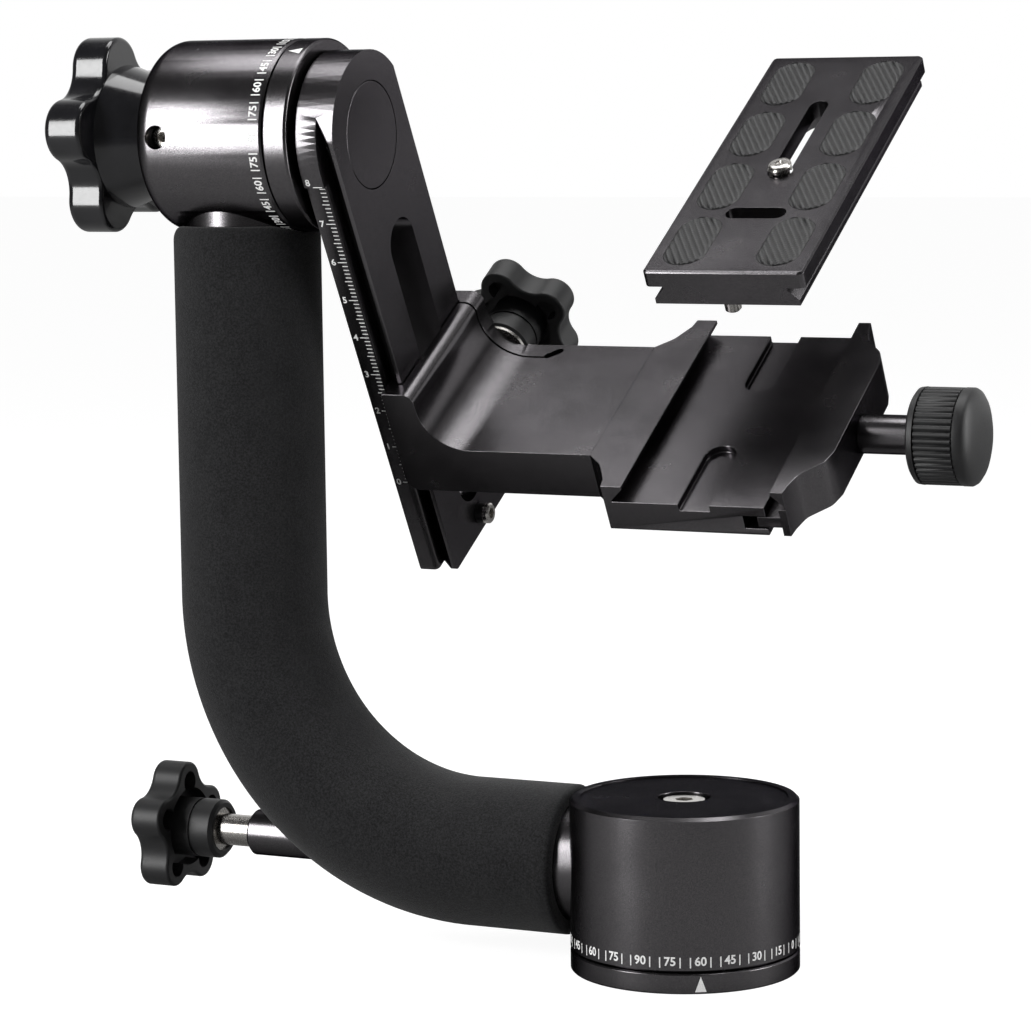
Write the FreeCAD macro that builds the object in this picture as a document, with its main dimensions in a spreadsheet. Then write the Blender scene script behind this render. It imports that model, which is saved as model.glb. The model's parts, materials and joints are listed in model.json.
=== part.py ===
"""Gimbal tripod head: pan base, J-shaped arm, tilt bearing, swinging rail and height platform.

Units are millimetres and degrees. The origin is the centre of the face that meets the tripod,
+Z runs up the pan axis, the arm lies towards -X, and the tilt axis is parallel to X.
The rail, the platform and the plate share the cradle frame: it has its origin on the tilt axis
above the pan axis, and is turned about the tilt axis by the tilt angle of the rest pose.
Cradle coordinates are called x, v and w: x along the tilt axis, w up the rail, v across it.
"""
import FreeCAD, Part
import math
import os

import Sketcher
from FreeCAD import Placement, Rotation, Vector

# Driving sizes. A name that ends in _x, _v or _w is a place along that axis, the rest are lengths.
SIZES = {
    # Clearances
    "running_fit": 0.03,
    "thrust_gap": 0.05,
    "seat_fit": 0.05,
    "free_gap": 0.3,
    "rail_slide_gap": 0.3,
    # Small threads, as the radius over the thread
    "m2_radius": 1.25,
    "m3_radius": 1.5,
    "m5_radius": 2.6,
    "m6_radius": 3.0,
    "m8_radius": 4.0,
    "m10_radius": 5.0,
    # Tripod base and pan bearing
    "base_radius": 27.7,
    "base_height": 5.0,
    "base_web": 2.0,
    "base_screw_circle": 8.75,
    "base_screw_head": 2.7,
    "base_screw_length": 5.0,
    "spindle_foot_radius": 11.0,
    "pan_journal_radius": 9.0,
    "mount_thread_radius": 4.0,
    "insert_wall": 2.2,
    "insert_length": 12.0,
    "pan_bush_wall": 3.0,
    "pan_flange_ledge": 2.0,
    "pan_flange_thickness": 2.0,
    "lower_bush_length": 12.0,
    "upper_bush_length": 6.0,
    "pan_seat_span": 26.0,
    "spindle_washer_radius": 13.0,
    "spindle_washer_thickness": 2.0,
    "spindle_bolt_length": 14.0,
    "bolt_head_radius": 5.0,
    "bolt_head_height": 4.0,
    "hex_socket_radius": 2.3,
    "hex_socket_depth": 2.2,
    "pan_drum_height": 36.6,
    "drum_edge": 0.8,
    "cap_radius": 24.9,
    "cap_thickness": 1.5,
    "cap_recess": 0.2,
    "cap_bore_radius": 6.4,
    # Arm
    "arm_axis_z": 24.0,
    "arm_socket_reach": 20.0,
    "tube_radius": 15.0,
    "tube_wall": 2.5,
    "upright_x": -117.0,
    "bend_radius": 61.5,
    "tilt_axis_z": 200.5,
    "tilt_socket_drop": 17.75,
    "foam_thickness": 3.3,
    "foam_play": 0.1,
    "foam_end_gap": 0.5,
    "foam_top_drop": 23.3,
    "foam_top_bevel": 4.0,
    "foam_top_inset": 2.0,
    # Pan lock
    "brake_shoe_radius": 4.5,
    "brake_shoe_length": 9.7,
    "pan_knob_reach": 127.4,
    "pan_rod_grip": 12.6,
    "lock_sleeve_radius": 5.8,
    "lock_sleeve_reach": 118.1,
    "lock_sleeve_length": 26.0,
    "pan_knob_phase": 18.9,
    # Five-lobed lock knob, used twice
    "star_tip_radius": 16.62,
    "star_valley_radius": 12.38,
    "star_lobe_radius": 5.2,
    "star_rim": 8.6,
    "star_hub_radius": 7.5,
    "star_hub_length": 10.0,
    "star_edge": 1.4,
    "star_hollow_depth": 4.0,
    "star_wall": 2.4,
    "star_recess_radius": 5.6,
    "star_recess_depth": 1.6,
    "star_ferrule_height": 1.0,
    "star_groove": 5.8,
    # Tilt bearing
    "tilt_drum_radius": 23.75,
    "tilt_drum_length": 36.6,
    "tilt_drum_round": 5.0,
    "tilt_journal_radius": 8.0,
    "tilt_bush_wall": 4.0,
    "left_bush_length": 14.2,
    "right_bush_length": 8.4,
    "set_screw_inset": 7.3,
    "set_screw_hole": 2.95,
    "set_screw_length": 8.0,
    "set_screw_socket": 1.55,
    "index_ring_thickness": 6.6,
    "index_ring_edge": 0.5,
    "friction_inner_radius": 14.0,
    "friction_outer_radius": 20.0,
    "friction_thickness": 1.25,
    "index_spacer_radius": 17.0,
    "index_spacer_thickness": 1.3,
    "spindle_flange_radius": 12.5,
    "spindle_flange_thickness": 2.8,
    "flange_screw_circle": 10.4,
    "flange_screw_head": 2.0,
    "flange_screw_length": 7.0,
    "stud_length": 20.1,
    "thrust_washer_radius": 15.0,
    "thrust_washer_thickness": 2.2,
    "thrust_washer_gap": 0.1,
    # Tilt lock knob
    "tilt_knob_tip": 25.3,
    "tilt_knob_valley": 18.3,
    "tilt_knob_lobe": 7.9,
    "tilt_knob_rim": 10.5,
    "tilt_knob_edge": 2.0,
    "tilt_knob_hub_length": 11.5,
    "tilt_knob_hub_front": 14.0,
    "tilt_knob_hub_back": 18.0,
    "tilt_knob_phase": 5.7,
    "knob_insert_radius": 8.0,
    "knob_insert_length": 18.0,
    # Swinging rail
    "tilt_angle": 30.0,
    "rail_face_x": -81.46,
    "rail_thickness": 9.94,
    "strip_thickness": 5.4,
    "rail_land": 1.04,
    "rail_width": 38.0,
    "strip_width": 39.5,
    "strip_edge_round": 1.8,
    "boss_radius": 20.8,
    "boss_foot_w": -2.5,
    "rail_bottom_w": -119.9,
    "rail_corner_round": 1.5,
    "rail_slot_half": 6.75,
    "rail_slot_top_w": -31.6,
    "rail_slot_bottom_w": -103.0,
    "face_disc_radius": 13.2,
    "face_disc_thickness": 1.2,
    "face_disc_play": 0.2,
    "stop_screw_w": -115.0,
    "stop_collar_radius": 2.7,
    "stop_collar_height": 1.9,
    "stop_head_height": 1.6,
    "stop_screw_length": 8.0,
    # Platform bracket
    "bracket_half": 23.85,
    "bracket_back_x": -85.4,
    "bracket_leg_x": -76.8,
    "bracket_top_w": -61.0,
    "bracket_top_round": 3.0,
    "bracket_inner_round": 11.8,
    "bracket_heel_round": 3.5,
    "bracket_end_x": -32.0,
    "deck_w": -77.5,
    "platform_bottom_w": -90.3,
    "jaw_tip_half": 16.88,
    "kerf_v": 18.2,
    "kerf_width": 0.65,
    "kerf_end_x": -59.5,
    "flex_slot_radius": 1.15,
    "flex_slot_inner_x": -60.0,
    "flex_slot_inner_v": 18.9,
    "flex_slot_outer_x": -57.6,
    "flex_slot_outer_v": 21.1,
    "height_screw_x": -75.7,
    "height_screw_w": -79.0,
    "height_screw_depth": 32.0,
    "height_screw_grip": 12.0,
    "spot_face_radius": 8.4,
    "spot_face_depth": 0.95,
    "height_washer_radius": 7.0,
    "height_washer_thickness": 0.9,
    "height_knob_phase": 28.0,
    # Clamp
    "clamp_half": 36.5,
    "clamp_end_x": 17.1,
    "clamp_floor_w": -82.1,
    "fixed_jaw_x": -19.1,
    "jaw_land": 1.0,
    "base_neck_run": 4.1,
    "base_neck_rise": 3.9,
    "base_neck_round": 6.0,
    "base_waist_run": 7.0,
    "base_waist_drop": 3.0,
    "base_waist_round": 3.0,
    "base_tip_run": 7.6,
    "recess_x": -1.1,
    "recess_width": 8.1,
    "recess_depth": 1.85,
    "recess_start_v": 11.9,
    "tongue_slot_x": 11.1,
    "tongue_slot_top_w": -84.8,
    "tongue_slot_height": 3.6,
    "tongue_slot_v": 28.0,
    "platform_stud_radius": 2.5,
    "platform_stud_length": 16.0,
    "platform_stud_v": 14.0,
    "platform_stud_w": -84.0,
    "moving_jaw_x": 19.4,
    "moving_jaw_face_x": 20.75,
    "moving_jaw_outer_x": 30.3,
    "moving_jaw_undercut": 3.1,
    "moving_jaw_ledge": 1.0,
    "jaw_curve_length": 17.5,
    "jaw_curve_round": 5.0,
    "jaw_flare_run": 1.2,
    "jaw_flare_drop": 12.9,
    "jaw_waist_run": 6.1,
    "jaw_waist_drop": 7.6,
    "jaw_neck_run": 7.3,
    "jaw_neck_drop": 3.0,
    "jaw_tip_run": 7.8,
    "tongue_length": 6.15,
    "clamp_screw_w": -85.67,
    "clamp_screw_tip_x": 8.0,
    "clamp_thread_start_x": 4.5,
    "clamp_screw_length": 44.0,
    "clamp_sleeve_radius": 4.88,
    "clamp_knob_x": 44.7,
    "clamp_knob_radius": 12.04,
    "clamp_knob_length": 16.8,
    "clamp_knob_collar": 2.0,
    "clamp_knob_dome": 2.4,
    "clamp_dome_radius": 8.4,
    "knurl_radius": 0.8,
    # Quick plate, lifted off its clamp
    "plate_v": 57.4,
    "plate_w": -42.3,
    "plate_width": 42.0,
    "plate_length": 105.0,
    "plate_height": 9.3,
    "plate_slab": 4.4,
    "plate_neck": 0.6,
    "plate_flange": 38.0,
    "plate_flange_land": 1.5,
    "plate_corner_round": 1.5,
    "plate_edge": 0.5,
    "plate_slot_width": 5.0,
    "plate_slot_end": 29.3,
    "camera_screw_v": -5.4,
    "camera_hole_radius": 3.3,
    "counterbore_width": 12.5,
    "counterbore_depth": 4.6,
    "short_slot_v": -25.3,
    "short_slot_half": 8.0,
    "pad_x": 12.3,
    "pad_pitch": 25.6,
    "pad_width": 11.3,
    "pad_length": 22.0,
    "pad_pocket_depth": 0.8,
    "pad_proud": 0.4,
    "plate_pin_radius": 2.1,
    "plate_pin_v": -49.7,
    "plate_pin_height": 3.2,
    "camera_thread_radius": 3.175,
    "camera_thread_height": 2.3,
    "camera_head_radius": 5.9,
    "camera_head_height": 2.8,
    "camera_neck_radius": 2.35,
    "screw_washer_thickness": 0.6,
}

BASE_SCREWS = 3
FLANGE_SCREWS = 3
KNOB_LOBES = 5
KNURLS = 30
PAD_ROWS = 4


class Size:
    """A length or an angle: its number now and the expression that ties it to the sheet."""

    def __init__(self, value, text):
        self.value = value
        self.text = text

    def __add__(self, other):
        other = as_size(other)
        return Size(self.value + other.value, "(%s + %s)" % (self.text, other.text))

    def __sub__(self, other):
        other = as_size(other)
        return Size(self.value - other.value, "(%s - %s)" % (self.text, other.text))

    def __mul__(self, other):
        other = as_size(other)
        return Size(self.value * other.value, "(%s * %s)" % (self.text, other.text))

    def __truediv__(self, other):
        other = as_size(other)
        return Size(self.value / other.value, "(%s / %s)" % (self.text, other.text))

    def __neg__(self):
        return as_size(0) - self


def as_size(value):
    """A size from a size or from a plain number."""
    if isinstance(value, Size):
        return value
    return Size(float(value), "(%r)" % float(value))


def cosine(angle):
    return Size(math.cos(math.radians(angle.value)), "cos(%s)" % angle.text)


def sine(angle):
    return Size(math.sin(math.radians(angle.value)), "sin(%s)" % angle.text)


def root(size):
    return Size(math.sqrt(size.value), "sqrt(%s)" % size.text)


class Sheet:
    """The spreadsheet of driving sizes, read by name."""

    def __init__(self, document):
        self.sheet = document.addObject("Spreadsheet::Sheet", "Sizes")
        for row, (name, value) in enumerate(SIZES.items(), 1):
            self.sheet.set("A%d" % row, name)
            self.sheet.set("B%d" % row, str(value))
            self.sheet.setAlias("B%d" % row, name)
        document.recompute()

    def __getattr__(self, name):
        return Size(SIZES[name], "Sizes." + name)


doc = FreeCAD.newDocument("GimbalHead")
z = Sheet(doc)
parts = []

# Places that several pieces share
pan_drum_bottom = z.base_height + z.free_gap
pan_drum_top = pan_drum_bottom + z.pan_drum_height
pan_bush_radius = z.pan_journal_radius + z.pan_bush_wall
pan_flange_radius = pan_bush_radius + z.pan_flange_ledge
lower_flange_bottom = z.base_height + z.thrust_gap
lower_seat = lower_flange_bottom + z.pan_flange_thickness
upper_seat = lower_seat + z.pan_seat_span
upper_flange_top = upper_seat + z.pan_flange_thickness
journal_top = upper_flange_top + z.thrust_gap
bolt_head_bottom = journal_top + z.spindle_washer_thickness
cap_seat = pan_drum_top - z.cap_recess - z.cap_thickness
insert_radius = z.mount_thread_radius + z.insert_wall
bend_start_x = z.upright_x + z.bend_radius
tube_bore = z.tube_radius - z.tube_wall
foam_radius = z.tube_radius + z.foam_thickness + z.foam_play
rail_back_x = z.rail_face_x - z.rail_thickness
shoulder_x = rail_back_x + z.strip_thickness
lip_back_x = z.rail_face_x - z.rail_land
rail_half = z.rail_width / 2
rail_root_half = rail_half - (lip_back_x - shoulder_x)
ring_right_x = rail_back_x - z.index_spacer_thickness
ring_left_x = ring_right_x - z.index_ring_thickness
drum_right_x = ring_left_x - z.free_gap
drum_left_x = drum_right_x - z.tilt_drum_length
tilt_bush_radius = z.tilt_journal_radius + z.tilt_bush_wall
thrust_right_x = drum_left_x - z.thrust_washer_gap
knob_face_x = thrust_right_x - z.thrust_washer_thickness
counterbore_radius = z.face_disc_radius + z.face_disc_play
flange_face_x = z.rail_face_x - z.face_disc_thickness
flange_back_x = flange_face_x - z.spindle_flange_thickness
set_screw_x = drum_left_x + z.set_screw_inset
channel_x = z.rail_face_x + z.rail_slide_gap
height_knob_v = z.bracket_half
plate_half = z.plate_width / 2
screw_seat = -z.plate_height + z.counterbore_depth


def bind(thing, path, size):
    """Tie a property of a feature to a size."""
    size = as_size(size)
    setattr(thing, path, size.value)
    thing.setExpression(path, size.text)


def facing(z_axis, x_axis):
    """The turn that points a knob's axis along one direction and its first lobe along another."""
    return Rotation(Vector(*x_axis), Vector(), Vector(*z_axis), "ZXY")


def cradle_point(x, v, w):
    """A place in the cradle frame, in the head's own frame."""
    turn_cos = cosine(z.tilt_angle)
    turn_sin = sine(z.tilt_angle)
    x, v, w = as_size(x), as_size(v), as_size(w)
    return x, v * turn_cos - w * turn_sin, z.tilt_axis_z + v * turn_sin + w * turn_cos


def new_body(name, point=(0, 0, 0), turn=None, cradle=False):
    """A labelled body at a point, which is a cradle place for the pieces that swing."""
    body = doc.addObject("PartDesign::Body", name)
    body.Label = name
    tilt = Rotation(Vector(1, 0, 0), z.tilt_angle.value)
    if cradle:
        point = cradle_point(*point)
    point = [as_size(p) for p in point]
    rotation = turn or Rotation()
    if cradle:
        rotation = tilt.multiply(rotation)
    body.Placement = Placement(Vector(*[p.value for p in point]), rotation)
    for axis, place in zip("xyz", point):
        body.setExpression(".Placement.Base." + axis, place.text)
    if cradle and turn is None:
        body.setExpression(".Placement.Rotation.Angle", z.tilt_angle.text)
    parts.append(body)
    return body


def new_sketch(body, plane, offset=None):
    """A sketch on one of the body's own origin planes, moved along the plane's normal."""
    sketch = body.newObject("Sketcher::SketchObject", body.Name + "_sketch")
    support = [f for f in body.Origin.OriginFeatures if f.Role == plane + "_Plane"][0]
    sketch.AttachmentSupport = (support, "")
    sketch.MapMode = "FlatFace"
    if offset is not None:
        offset = as_size(offset)
        sketch.AttachmentOffset = Placement(Vector(0, 0, offset.value), Rotation())
        sketch.setExpression(".AttachmentOffset.Base.z", offset.text)
    return sketch


def pin_point(sketch, geometry, point, x, y):
    """Hold one point of a sketch at its two distances from the origin."""
    for kind, axis, size in (("DistanceX", -2, as_size(x)), ("DistanceY", -1, as_size(y))):
        if size.value == 0:
            sketch.addConstraint(Sketcher.Constraint("PointOnObject", geometry, point, axis))
            continue
        rule = sketch.addConstraint(Sketcher.Constraint(kind, -1, 1, geometry, point, size.value))
        sketch.setExpression("Constraints[%d]" % rule, size.text)


def hold_radius(sketch, geometry, radius):
    """Tie a circle's or an arc's radius to its size."""
    rule = sketch.addConstraint(Sketcher.Constraint("Radius", geometry, radius.value))
    sketch.setExpression("Constraints[%d]" % rule, radius.text)


def draw_polygon(sketch, corners):
    """A closed outline of straight lines with every corner tied to the sizes."""
    first = sketch.GeometryCount
    places = [(as_size(x), as_size(y)) for x, y in corners]
    points = [Vector(x.value, y.value, 0) for x, y in places]
    count = len(points)
    for i in range(count):
        sketch.addGeometry(Part.LineSegment(points[i], points[(i + 1) % count]), False)
    for i in range(count):
        following = first + (i + 1) % count
        sketch.addConstraint(Sketcher.Constraint("Coincident", first + i, 2, following, 1))
    for i, (x, y) in enumerate(places):
        pin_point(sketch, first + i, 1, x, y)


def draw_circle(sketch, x, y, radius):
    """A circle tied to the sizes."""
    x, y, radius = as_size(x), as_size(y), as_size(radius)
    centre = Vector(x.value, y.value, 0)
    circle = sketch.addGeometry(Part.Circle(centre, Vector(0, 0, 1), radius.value), False)
    pin_point(sketch, circle, 3, x, y)
    hold_radius(sketch, circle, radius)


def draw_slot(sketch, x1, y1, x2, y2, radius):
    """A slot with round ends, centred on the line between two places."""
    x1, y1, x2, y2, radius = [as_size(s) for s in (x1, y1, x2, y2, radius)]
    start = Vector(x1.value, y1.value, 0)
    end = Vector(x2.value, y2.value, 0)
    along = math.atan2(end.y - start.y, end.x - start.x)
    quarter = math.pi / 2
    side = Vector(-math.sin(along), math.cos(along), 0) * radius.value
    up = Vector(0, 0, 1)
    near = Part.ArcOfCircle(Part.Circle(start, up, radius.value), along + quarter, along + 3 * quarter)
    far = Part.ArcOfCircle(Part.Circle(end, up, radius.value), along - quarter, along + quarter)
    first = sketch.addGeometry(near, False)
    low = sketch.addGeometry(Part.LineSegment(start - side, end - side), False)
    second = sketch.addGeometry(far, False)
    high = sketch.addGeometry(Part.LineSegment(end + side, start + side), False)
    for one, other in ((first, low), (low, second), (second, high), (high, first)):
        sketch.addConstraint(Sketcher.Constraint("Tangent", one, 2, other, 1))
    sketch.addConstraint(Sketcher.Constraint("Equal", first, second))
    pin_point(sketch, first, 3, x1, y1)
    pin_point(sketch, second, 3, x2, y2)
    hold_radius(sketch, first, radius)


def add_feature(body, kind, sketch, length=None, backwards=False, middle=False):
    """A pad or pocket from a sketch; without a length a pocket goes through everything."""
    feature = body.newObject("PartDesign::" + kind, body.Name + "_" + kind.lower())
    feature.Profile = sketch
    if length is None:
        feature.Type = "ThroughAll"
    else:
        bind(feature, "Length", length)
    feature.Reversed = backwards
    feature.Midplane = middle
    return feature


def pad(body, sketch, length, backwards=False, middle=False):
    return add_feature(body, "Pad", sketch, length, backwards, middle)


def pocket(body, sketch, length=None, backwards=False, middle=False):
    return add_feature(body, "Pocket", sketch, length, backwards, middle)


def turn_profile(body, corners, axis, cut=False):
    """A solid or a groove turned about the sketch's own level (H) or upright (V) axis."""
    sketch = new_sketch(body, "XZ")
    draw_polygon(sketch, corners)
    kind = "Groove" if cut else "Revolution"
    feature = body.newObject("PartDesign::" + kind, body.Name + "_" + kind.lower())
    feature.Profile = sketch
    feature.ReferenceAxis = (sketch, [axis + "_Axis"])
    feature.Angle = 360.0
    return feature


def ring_profile(inner, outer, start, end, chamfer=None):
    """Corners of a plain ring between two radii, as (radius, height)."""
    if chamfer is None:
        return [(inner, start), (outer, start), (outer, end), (inner, end)]
    return [(inner, start), (outer - chamfer, start), (outer, start + chamfer),
            (outer, end - chamfer), (outer - chamfer, end), (inner, end)]


def flipped(corners):
    """The same corners with the two coordinates swapped, for pieces turned about X."""
    return [(y, x) for x, y in corners]


def polar_copies(body, features, count):
    """Copies of features about the body's own Z axis."""
    pattern = body.newObject("PartDesign::PolarPattern", body.Name + "_pattern")
    pattern.Originals = features
    axis = [f for f in body.Origin.OriginFeatures if f.Role == "Z_Axis"][0]
    pattern.Axis = (axis, [""])
    pattern.Angle = 360.0
    pattern.Occurrences = count
    body.Tip = pattern
    return pattern


def edges_where(body, test):
    """Names of the last feature's edges whose middle point and edge pass a test."""
    doc.recompute()
    names = []
    for number, edge in enumerate(body.Tip.Shape.Edges, 1):
        middle = edge.valueAt((edge.FirstParameter + edge.LastParameter) / 2)
        if test(middle, edge):
            names.append("Edge%d" % number)
    if not names:
        raise ValueError("no edge found on " + body.Name)
    return names


def near(value, size, play=0.02):
    return abs(value - as_size(size).value) < play


def ease_edges(body, kind, size, test):
    """A fillet or chamfer on the edges that pass a test."""
    names = edges_where(body, test)
    base = body.Tip
    feature = body.newObject("PartDesign::" + kind, body.Name + "_" + kind.lower())
    feature.Base = (base, names)
    bind(feature, "Radius" if kind == "Fillet" else "Size", size)
    doc.recompute()
    return feature


def upright_at(x, y):
    """A test for edges along the body's Z axis that stand at one place."""
    return lambda m, e: near(m.x, x) and near(m.y, y) and near(heading(e).z ** 2, 1)


def across_at(x, w):
    """A test for edges along the body's Y axis that lie at one place."""
    return lambda m, e: near(m.x, x) and near(m.z, w) and near(heading(e).y ** 2, 1)


def heading(edge):
    """The direction in which an edge starts."""
    return edge.tangentAt(edge.FirstParameter)


def hex_socket(body, top, radius, depth):
    """A hexagon key socket sunk into a screw head along the body's own axis."""
    sketch = new_sketch(body, "XY", top)
    half = radius / 2
    tall = radius * root(as_size(3)) / 2
    draw_polygon(sketch, [(radius, 0), (half, tall), (-half, tall),
                          (-radius, 0), (-half, -tall), (half, -tall)])
    return pocket(body, sketch, depth)


def primitive(body, kind, point, direction, sizes):
    """A cylinder or cone that adds to or cuts the body, from a point along a direction."""
    feature = body.newObject("PartDesign::" + kind, body.Name + "_" + kind.lower())
    point = [as_size(p) for p in point]
    turn = Rotation(Vector(0, 0, 1), Vector(*direction))
    feature.Placement = Placement(Vector(*[p.value for p in point]), turn)
    for axis, place in zip("xyz", point):
        feature.setExpression(".Placement.Base." + axis, place.text)
    for name, size in sizes.items():
        bind(feature, name, size)
    return feature


def add_cylinder(body, point, direction, radius, length):
    return primitive(body, "AdditiveCylinder", point, direction, {"Radius": radius, "Height": length})


def cut_cylinder(body, point, direction, radius, length):
    return primitive(body, "SubtractiveCylinder", point, direction, {"Radius": radius, "Height": length})


def add_cone(body, point, direction, start, end, length):
    sizes = {"Radius1": start, "Radius2": end, "Height": length}
    return primitive(body, "AdditiveCone", point, direction, sizes)


def cut_cone(body, point, direction, start, end, length):
    sizes = {"Radius1": start, "Radius2": end, "Height": length}
    return primitive(body, "SubtractiveCone", point, direction, sizes)


UP = (0, 0, 1)
DOWN = (0, 0, -1)
ALONG = (1, 0, 0)
BACK = (-1, 0, 0)


def base_disc():
    """The foot that the tripod's plate bears on, with a pocket that holds the spindle's foot."""
    body = new_body("base_disc")
    edge = z.drum_edge / 2
    foot = z.spindle_foot_radius + z.seat_fit
    turn_profile(body, [(insert_radius, 0), (z.base_radius - edge, 0), (z.base_radius, edge),
                        (z.base_radius, z.base_height - edge), (z.base_radius - edge, z.base_height),
                        (foot, z.base_height), (foot, z.base_web), (insert_radius, z.base_web)], "V")
    sink = cut_cone(body, (z.base_screw_circle, 0, 0), UP, z.base_screw_head, z.m3_radius,
                    z.base_screw_head - z.m3_radius)
    hole = cut_cylinder(body, (z.base_screw_circle, 0, 0), UP, z.m3_radius, z.base_height)
    polar_copies(body, [sink, hole], BASE_SCREWS)


def base_disc_screws():
    """Three countersunk screws that hold the spindle to the foot."""
    body = new_body("base_disc_screws")
    body.AllowCompound = True
    head = z.base_screw_head - z.m3_radius
    sink = add_cone(body, (z.base_screw_circle, 0, 0), UP, z.base_screw_head, z.m3_radius, head)
    shank = add_cylinder(body, (z.base_screw_circle, 0, head), UP, z.m3_radius,
                         z.base_screw_length - head)
    polar_copies(body, [sink, shank], BASE_SCREWS)


def tripod_thread_insert():
    """The threaded sleeve for the tripod's own screw."""
    body = new_body("tripod_thread_insert")
    turn_profile(body, ring_profile(z.mount_thread_radius, insert_radius, 0, z.insert_length), "V")


def pan_spindle():
    """The fixed post that the whole head pans on."""
    body = new_body("pan_spindle")
    foot = z.spindle_foot_radius
    turn_profile(body, [(0, z.base_web), (foot, z.base_web), (foot, z.base_height),
                        (z.pan_journal_radius, z.base_height), (z.pan_journal_radius, journal_top),
                        (0, journal_top)], "V")
    cut_cylinder(body, (0, 0, z.base_web), UP, insert_radius, z.insert_length - z.base_web)
    cut_cylinder(body, (0, 0, journal_top), DOWN, z.m6_radius, z.spindle_bolt_length)
    hole = cut_cylinder(body, (z.base_screw_circle, 0, z.base_web), UP, z.m3_radius,
                        z.base_screw_length - z.base_web)
    polar_copies(body, [hole], BASE_SCREWS)


def pan_lower_bush():
    """Flanged bush that carries the arm's weight on the foot."""
    body = new_body("pan_lower_bush")
    bore = z.pan_journal_radius + z.running_fit
    top = lower_flange_bottom + z.lower_bush_length
    turn_profile(body, [(bore, lower_flange_bottom), (pan_flange_radius, lower_flange_bottom),
                        (pan_flange_radius, lower_seat), (pan_bush_radius, lower_seat),
                        (pan_bush_radius, top), (bore, top)], "V")


def pan_upper_bush():
    """Flanged bush at the top of the post, under the retaining washer."""
    body = new_body("pan_upper_bush")
    bore = z.pan_journal_radius + z.running_fit
    bottom = upper_flange_top - z.upper_bush_length
    turn_profile(body, [(bore, bottom), (pan_bush_radius, bottom), (pan_bush_radius, upper_seat),
                        (pan_flange_radius, upper_seat), (pan_flange_radius, upper_flange_top),
                        (bore, upper_flange_top)], "V")


def spindle_washer():
    """The disc that keeps the arm from lifting off its post."""
    body = new_body("spindle_washer")
    turn_profile(body, ring_profile(z.m6_radius, z.spindle_washer_radius, journal_top,
                                    bolt_head_bottom), "V")


def spindle_bolt():
    """The socket screw seen down the hole in the cap."""
    body = new_body("spindle_bolt")
    top = bolt_head_bottom + z.bolt_head_height
    bottom = journal_top - z.spindle_bolt_length
    turn_profile(body, [(0, bottom), (z.m6_radius, bottom), (z.m6_radius, bolt_head_bottom),
                        (z.bolt_head_radius, bolt_head_bottom), (z.bolt_head_radius, top),
                        (0, top)], "V")
    hex_socket(body, top, z.hex_socket_radius, z.hex_socket_depth)


def pan_drum():
    """The turning housing of the pan bearing, with the socket of the arm's tube in its side."""
    body = new_body("pan_drum")
    edge = z.drum_edge
    washer_room = pan_flange_radius + z.free_gap
    cap_room = z.cap_radius + z.seat_fit
    turn_profile(body, [(pan_flange_radius, pan_drum_bottom), (z.base_radius - edge / 2, pan_drum_bottom),
                        (z.base_radius, pan_drum_bottom + edge / 2),
                        (z.base_radius, pan_drum_top - edge), (z.base_radius - edge, pan_drum_top),
                        (cap_room, pan_drum_top), (cap_room, cap_seat), (washer_room, cap_seat),
                        (washer_room, upper_seat), (pan_bush_radius, upper_seat),
                        (pan_bush_radius, lower_seat), (pan_flange_radius, lower_seat)], "V")
    cut_cylinder(body, (-z.arm_socket_reach, 0, z.arm_axis_z), BACK, z.tube_radius + z.seat_fit,
                 z.base_radius)
    cut_cylinder(body, (-z.pan_journal_radius, 0, z.arm_axis_z), BACK,
                 z.brake_shoe_radius + z.free_gap / 2, z.arm_socket_reach)


def pan_drum_cap():
    """The ring let into the top of the drum, open over the bolt."""
    body = new_body("pan_drum_cap")
    turn_profile(body, ring_profile(z.cap_bore_radius, z.cap_radius, cap_seat,
                                    cap_seat + z.cap_thickness), "V")


def arm_path(body):
    """The arm's centre line: along under the camera, round the bend and up to the tilt axis."""
    sketch = new_sketch(body, "XZ")
    top = z.tilt_axis_z - z.tilt_socket_drop - z.arm_axis_z
    start = Vector(-z.arm_socket_reach.value, 0, 0)
    foot = Vector(bend_start_x.value, 0, 0)
    knee = Vector(z.upright_x.value, z.bend_radius.value, 0)
    head = Vector(z.upright_x.value, top.value, 0)
    centre = Vector(bend_start_x.value, z.bend_radius.value, 0)
    circle = Part.Circle(centre, Vector(0, 0, 1), z.bend_radius.value)
    level = sketch.addGeometry(Part.LineSegment(foot, start), False)
    bend = sketch.addGeometry(Part.ArcOfCircle(circle, math.pi, 1.5 * math.pi), False)
    upright = sketch.addGeometry(Part.LineSegment(head, knee), False)
    sketch.addConstraint(Sketcher.Constraint("Tangent", bend, 2, level, 1))
    sketch.addConstraint(Sketcher.Constraint("Tangent", upright, 2, bend, 1))
    pin_point(sketch, level, 2, -z.arm_socket_reach, 0)
    pin_point(sketch, level, 1, bend_start_x, 0)
    pin_point(sketch, upright, 1, z.upright_x, top)
    hold_radius(sketch, bend, z.bend_radius)
    return sketch


def sweep_along_arm(body, path, outer, inner):
    """A round tube along the arm's centre line."""
    section = new_sketch(body, "YZ", -z.arm_socket_reach)
    draw_circle(section, 0, 0, outer)
    draw_circle(section, 0, 0, inner)
    sweep = body.newObject("PartDesign::AdditivePipe", body.Name + "_sweep")
    sweep.Profile = section
    sweep.Spine = (path, [])
    return sweep


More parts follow.
